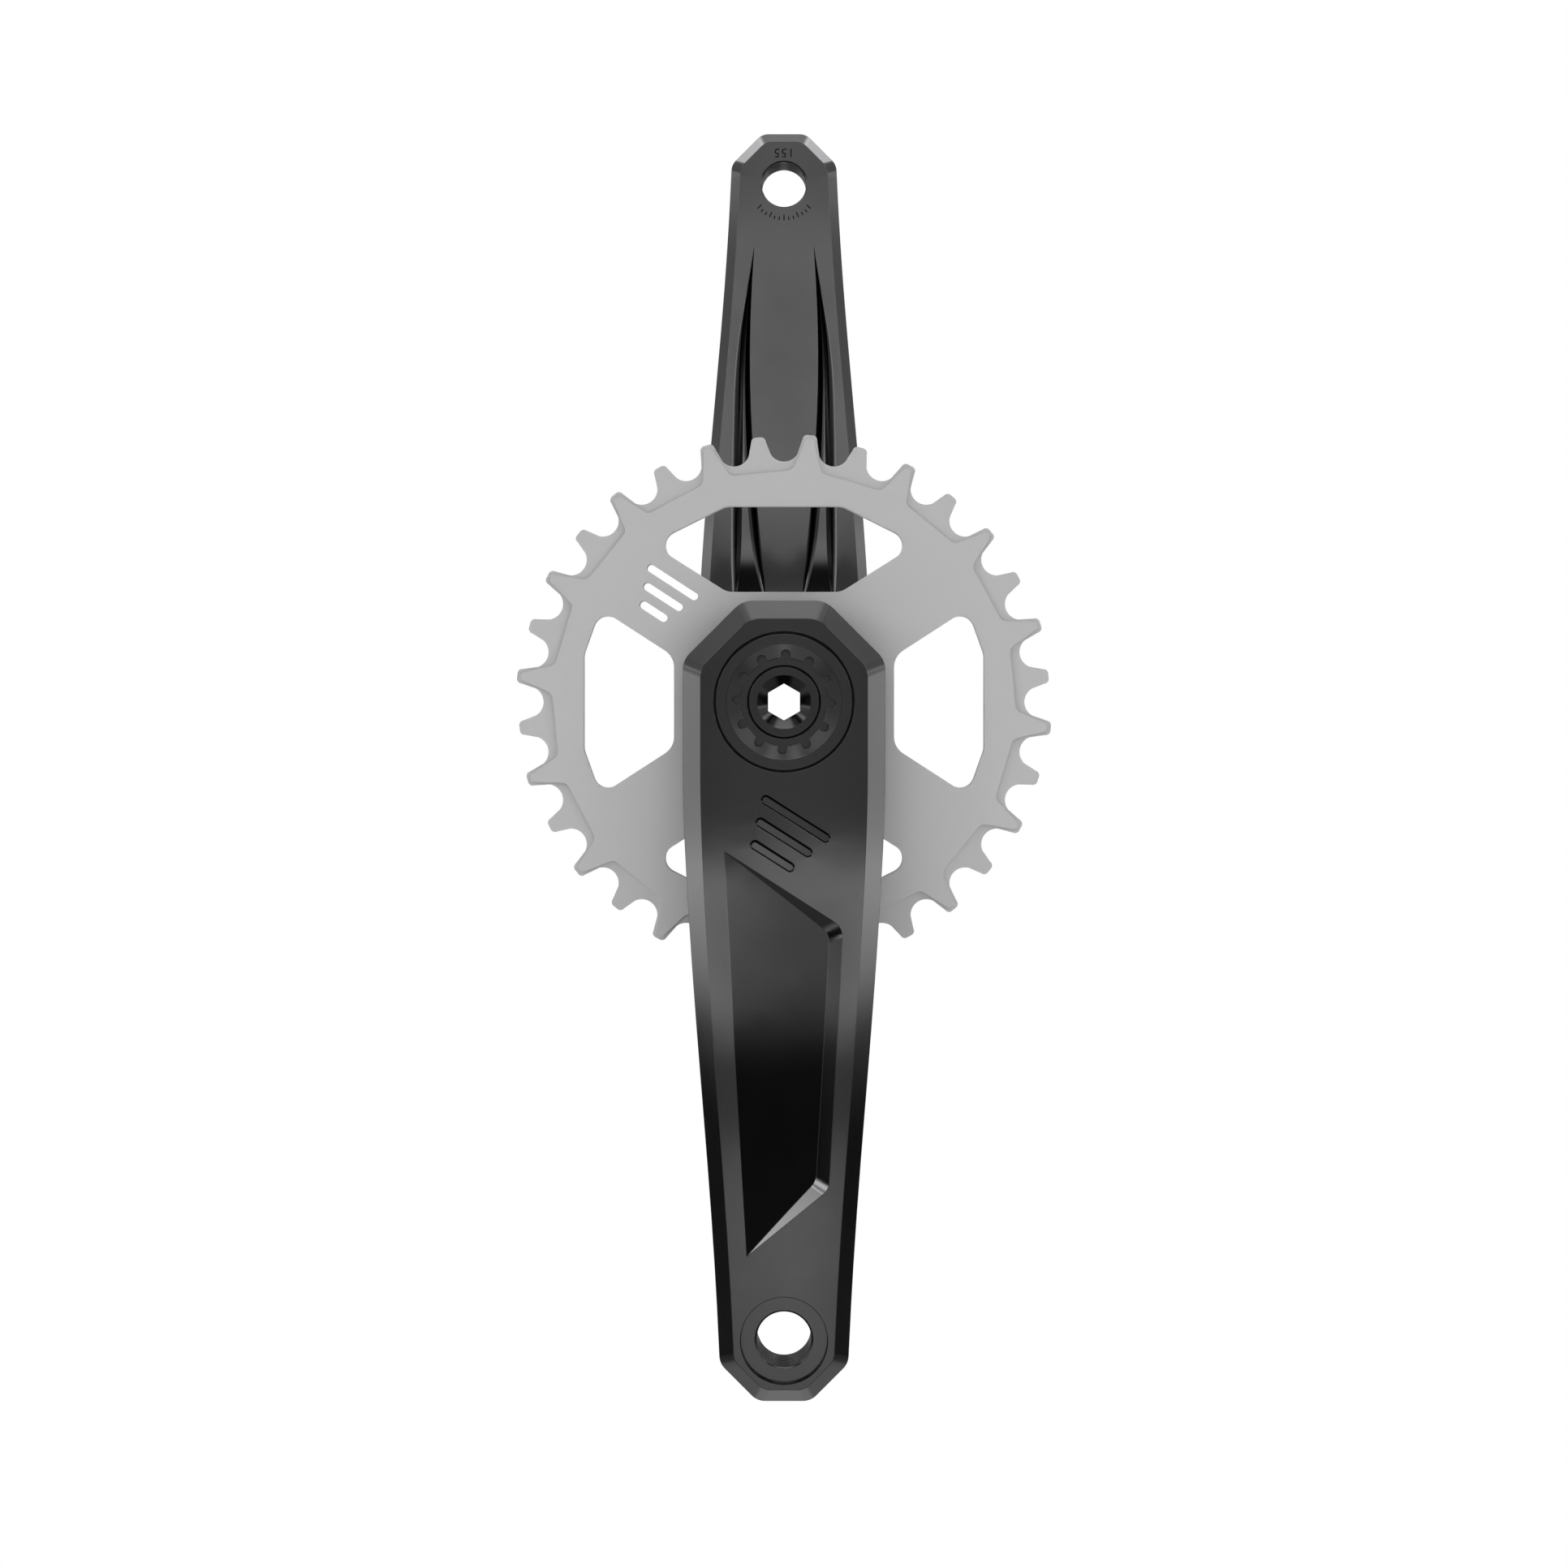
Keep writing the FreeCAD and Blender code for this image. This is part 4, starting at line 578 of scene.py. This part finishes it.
class CRANKSET_OT_mark_length(bpy.types.Operator):
    """Etch the length and a row of ticks on the left arm's pedal end"""
    bl_idname = "crankset.mark_length"
    bl_label = "Mark Length"

    def execute(self, context):
        settings = context.scene.crankset_mark
        material = etched_black()
        surface = left_arm_surface()
        for piece in (length_number(settings), tick_row(settings)):
            laid_on(piece.data, surface, settings.thickness)
            piece.data.materials.append(material)
            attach(piece, "root")
        return {"FINISHED"}


def left_arm_surface():
    """Search tree of the left arm's triangles, which lie at their true places."""
    data = frame["nodes"]["left_arm"].data
    data.calc_loop_triangles()
    corners = [vertex.co for vertex in data.vertices]
    return BVHTree.FromPolygons(corners, [triangle.vertices for triangle in data.loop_triangles])


def laid_on(mesh, surface, thickness):
    """Press a flat mark onto the arm, with one side below its surface and the other above."""
    for vertex in mesh.vertices:
        start = Vector((vertex.co.x, 0, vertex.co.z))
        place = surface.ray_cast(start, Vector((0, 1, 0)))[0]
        vertex.co.y = place.y + (thickness if vertex.co.y >= 0 else -thickness)


def length_number(settings):
    """The number as thin flat digits that read from the arm's end."""
    curve = bpy.data.curves.new("length_number_outline", "FONT")
    curve.body = settings.text
    curve.size = settings.height / DIGIT_SHARE
    curve.align_x = "CENTER"
    curve.align_y = "CENTER"
    curve.extrude = settings.thickness
    curve.space_character = DIGIT_SPACING
    source = bpy.data.objects.new("length_number_outline", curve)
    bpy.context.scene.collection.objects.link(source)
    bpy.context.view_layer.update()
    depsgraph = bpy.context.evaluated_depsgraph_get()
    data = bpy.data.meshes.new_from_object(source.evaluated_get(depsgraph))
    bpy.data.objects.remove(source)
    bpy.data.curves.remove(curve)
    place = Vector((LEFT_PEDAL.x, 0, LEFT_PEDAL.z + settings.offset))
    turn = Matrix.Rotation(math.pi, 4, "Y") @ Matrix.Rotation(math.pi / 2, 4, "X")
    data.transform(Matrix.Translation(place) @ turn)
    piece = bpy.data.objects.new("length_number", data)
    bpy.context.scene.collection.objects.link(piece)
    return piece


def tick_row(settings):
    """Short radial ticks around the lower side of the left pedal hole."""
    mesh = bmesh.new()
    centre = Matrix.Translation((LEFT_PEDAL.x, 0, LEFT_PEDAL.z))
    for index in range(settings.tick_count):
        share = index / (settings.tick_count - 1) - 0.5
        angle = -math.pi / 2 + share * settings.tick_spread
        length = settings.tick_length * (SHORT_TICK if index % LONG_TICK_EVERY else 1)
        along = settings.tick_radius + (settings.tick_length - length) / 2
        place = (centre @ Matrix.Rotation(-angle, 4, "Y") @ Matrix.Translation((along, 0, 0))
                 @ Matrix.Diagonal((length, settings.thickness, settings.tick_width, 1.0)))
        bmesh.ops.create_cube(mesh, size=1.0, matrix=place)
    return finished(mesh, "pedal_hole_ticks")


def finished(mesh, name):
    """Turn a bmesh into an object at the origin."""
    data = bpy.data.meshes.new(name)
    mesh.to_mesh(data)
    mesh.free()
    piece = bpy.data.objects.new(name, data)
    bpy.context.scene.collection.objects.link(piece)
    return piece


class CRANKSET_OT_build_studio(bpy.types.Operator):
    """Set up the camera, the floor and the studio's light"""
    bl_idname = "crankset.build_studio"
    bl_label = "Build Studio"

    def execute(self, context):
        settings = context.scene.crankset_studio
        context.scene.view_settings.view_transform = "Standard"
        place_camera(context.scene, settings)
        lay_floor(settings)
        light_studio(context.scene, settings)
        return {"FINISHED"}


def place_camera(scene, settings):
    """Level camera on the axle's line, in front of the drive side."""
    data = bpy.data.cameras.new("camera")
    data.lens = settings.lens
    data.sensor_width = 36.0
    data.shift_y = settings.shift
    data.clip_start = 0.01
    camera = bpy.data.objects.new("camera", data)
    camera.location = (0, -settings.distance, 0)
    camera.rotation_euler = (math.pi / 2, 0, 0)
    scene.collection.objects.link(camera)
    scene.camera = camera


# Share of the shadow's reach that shows it in full
SHADOW_CORE = 0.4


def lay_floor(settings):
    """Pale round floor that shows the object's shadow and fades to white around it."""
    mesh = bmesh.new()
    bmesh.ops.create_circle(
        mesh, cap_ends=True, segments=96, radius=settings.floor_reach,
        matrix=Matrix.Translation((0, 0, settings.floor)))
    floor = finished(mesh, "floor")
    floor.visible_glossy = False
    material, tree = new_material("pale_floor")
    _, (x, y, _) = tree.coordinates()
    away = tree.math("SQRT", x * x + y * y)
    seen = tree.add("ShaderNodeLightPath", output="Is Camera Ray")
    matt = tree.add("ShaderNodeBsdfDiffuse", None, {"Color": (*[settings.floor_level] * 3, 1.0)})
    white = tree.add("ShaderNodeEmission", None, {"Color": WHITE, "Strength": 1.0})
    beyond = away.rise(settings.shadow_reach * SHADOW_CORE, settings.shadow_reach) * seen
    mixed = tree.add("ShaderNodeMixShader", None, {0: beyond, 1: matt, 2: white})
    tree.add("ShaderNodeOutputMaterial", None, {"Surface": mixed})
    floor.data.materials.append(material)


# Soft boxes of the studio, in degrees, alike on both sides: name, whether it also stands
# behind, strength, azimuth (0 in front, 180 behind) and its soft edge, elevation and its soft
# edge. A box that starts below 0, or ends past 180 or 90, has no edge there.
SOFT_BOXES = [
    ("overhead", True, 2.0, (-20, 200), 5, (65, 120), 6),
    ("front horizon", True, 0.88, (-20, 2), 4.5, (-40, 31), 4),
    ("front upper box", False, 3.0, (-20, 0.5), 2, (9, 18), 4),
    ("front corner box", False, 3.5, (2.5, 9), 2, (16, 28), 3.5),
    ("front lower box", True, 2.9, (-20, 1), 0.8, (-14, -8), 3.5),
    ("front floor light", True, 0.64, (-20, 29), 5, (-40, -19), 3.5),
    ("front side fill", True, 0.45, (24, 56), 2, (-21, 26), 3.5),
    ("front side wash", True, 0.7, (37, 53), 5, (-34, 28), 6),
    ("front top fill", True, 1.23, (14, 31), 8.5, (16, 39), 12),
    ("high front box", True, 1.5, (16, 45), 5, (44, 60), 4),
    ("side window", False, 8.0, (61, 69), 4, (9, 28), 6),
    ("side strip", False, 2.9, (82, 89), 2, (-10, 9), 5.5),
    ("upper strip", False, 2.4, (86.5, 91), 1, (1, 16), 2.5),
    ("lower side box", False, 2.0, (77, 86), 2, (9.5, 14), 2),
    ("side wash", True, 0.77, (76, 100), 2, (12, 47), 3),
    ("low back strip", False, 0.7, (91.5, 98), 1.5, (8, 17), 2),
    ("high side box", False, 7.0, (52, 72), 5, (33, 41), 2.5),
    ("high back box", False, 8.2, (82, 104), 3.5, (50, 64), 5.5),
    ("head side box", True, 1.3, (69, 79), 3.5, (55, 68), 3.5),
    ("rear side wall", False, 0.8, (100, 113), 3, (0, 32), 5),
    ("back room light", False, 0.55, (112, 145), 7, (-34, 60), 8),
    ("back bore box", False, 1.3, (168, 176), 3, (1, 10), 3),
    ("low back fill", False, 0.5, (112, 162), 8, (-36, -14), 5),
    ("back floor light", False, 0.54, (98, 200), 6, (-120, -36), 6),
    ("low back light", False, 0.8, (96, 200), 6, (-120, -62), 6),
    ("side floor light", True, 0.26, (46, 86), 6, (-67, -18), 7.5),
    ("low side wash", True, 0.7, (45, 74), 6, (-33, -21), 4),
]

# Light from everywhere between the boxes
ROOM_GLOW = 0.03

DEGREES = 180 / math.pi


def light_studio(scene, settings):
    """White background for the camera and a room of soft boxes for everything else."""
    world = bpy.data.worlds.new("studio")
    scene.world = world
    tree = Tree(world)
    direction = tree.add("ShaderNodeTexCoord", output="Generated")
    x, y, z = tree.parts(direction)
    azimuth = tree.math("ARCTAN2", abs(x), 0 - y) * DEGREES
    elevation = tree.math("ARCSINE", z) * DEGREES
    folded = azimuth.least(180 - azimuth)
    room = ROOM_GLOW
    for _, behind_too, strength, sideways, side_soft, upwards, up_soft in SOFT_BOXES:
        across = folded if behind_too else azimuth
        room = across.band(*sideways, side_soft) * elevation.band(*upwards, up_soft) * strength + room
    glow = tree.add("ShaderNodeCombineColor", None, {0: room, 1: room, 2: room})
    studio = tree.add("ShaderNodeBackground", None, {"Color": glow, "Strength": settings.strength})
    white = tree.add("ShaderNodeBackground", None, {"Color": WHITE, "Strength": 1.0})
    seen = tree.add("ShaderNodeLightPath", output="Is Camera Ray")
    mixed = tree.add("ShaderNodeMixShader", None, {0: seen, 1: studio, 2: white})
    tree.add("ShaderNodeOutputWorld", None, {"Surface": mixed})


class CRANKSET_PT_panel(bpy.types.Panel):
    """Lists the crankset's steps and settings"""
    bl_idname = "CRANKSET_PT_panel"
    bl_label = "Crankset"
    bl_space_type = "VIEW_3D"
    bl_region_type = "UI"
    bl_category = "Crankset"

    def draw(self, context):
        column = self.layout.column()
        for step in STEPS:
            column.operator(step.bl_idname)
        for name, group in SETTINGS.items():
            box = self.layout.box()
            for setting in group.__annotations__:
                box.prop(getattr(context.scene, name), setting)


SETTINGS = {
    "crankset_finish": FinishSettings,
    "crankset_thread": ThreadSettings,
    "crankset_mark": MarkSettings,
    "crankset_studio": StudioSettings,
}
STEPS = (
    CRANKSET_OT_finish_arms,
    CRANKSET_OT_finish_turned_parts,
    CRANKSET_OT_finish_steel,
    CRANKSET_OT_finish_chainring,
    CRANKSET_OT_finish_shields,
    CRANKSET_OT_cut_pedal_threads,
    CRANKSET_OT_mark_length,
    CRANKSET_OT_build_studio,
)


def register():
    for group in (*SETTINGS.values(), *STEPS, CRANKSET_PT_panel):
        bpy.utils.register_class(group)
    for name, group in SETTINGS.items():
        setattr(bpy.types.Scene, name, bpy.props.PointerProperty(type=group))


def unregister():
    for name in SETTINGS:
        delattr(bpy.types.Scene, name)
    for group in reversed((*SETTINGS.values(), *STEPS, CRANKSET_PT_panel)):
        bpy.utils.unregister_class(group)


def main():
    register()
    bpy.ops.crankset.finish_arms()
    bpy.ops.crankset.finish_turned_parts()
    bpy.ops.crankset.finish_steel()
    bpy.ops.crankset.finish_chainring()
    bpy.ops.crankset.finish_shields()
    bpy.ops.crankset.cut_pedal_threads()
    bpy.ops.crankset.mark_length()
    bpy.ops.crankset.build_studio()
    bpy.context.view_layer.update()


if __name__ == "__main__":
    main()
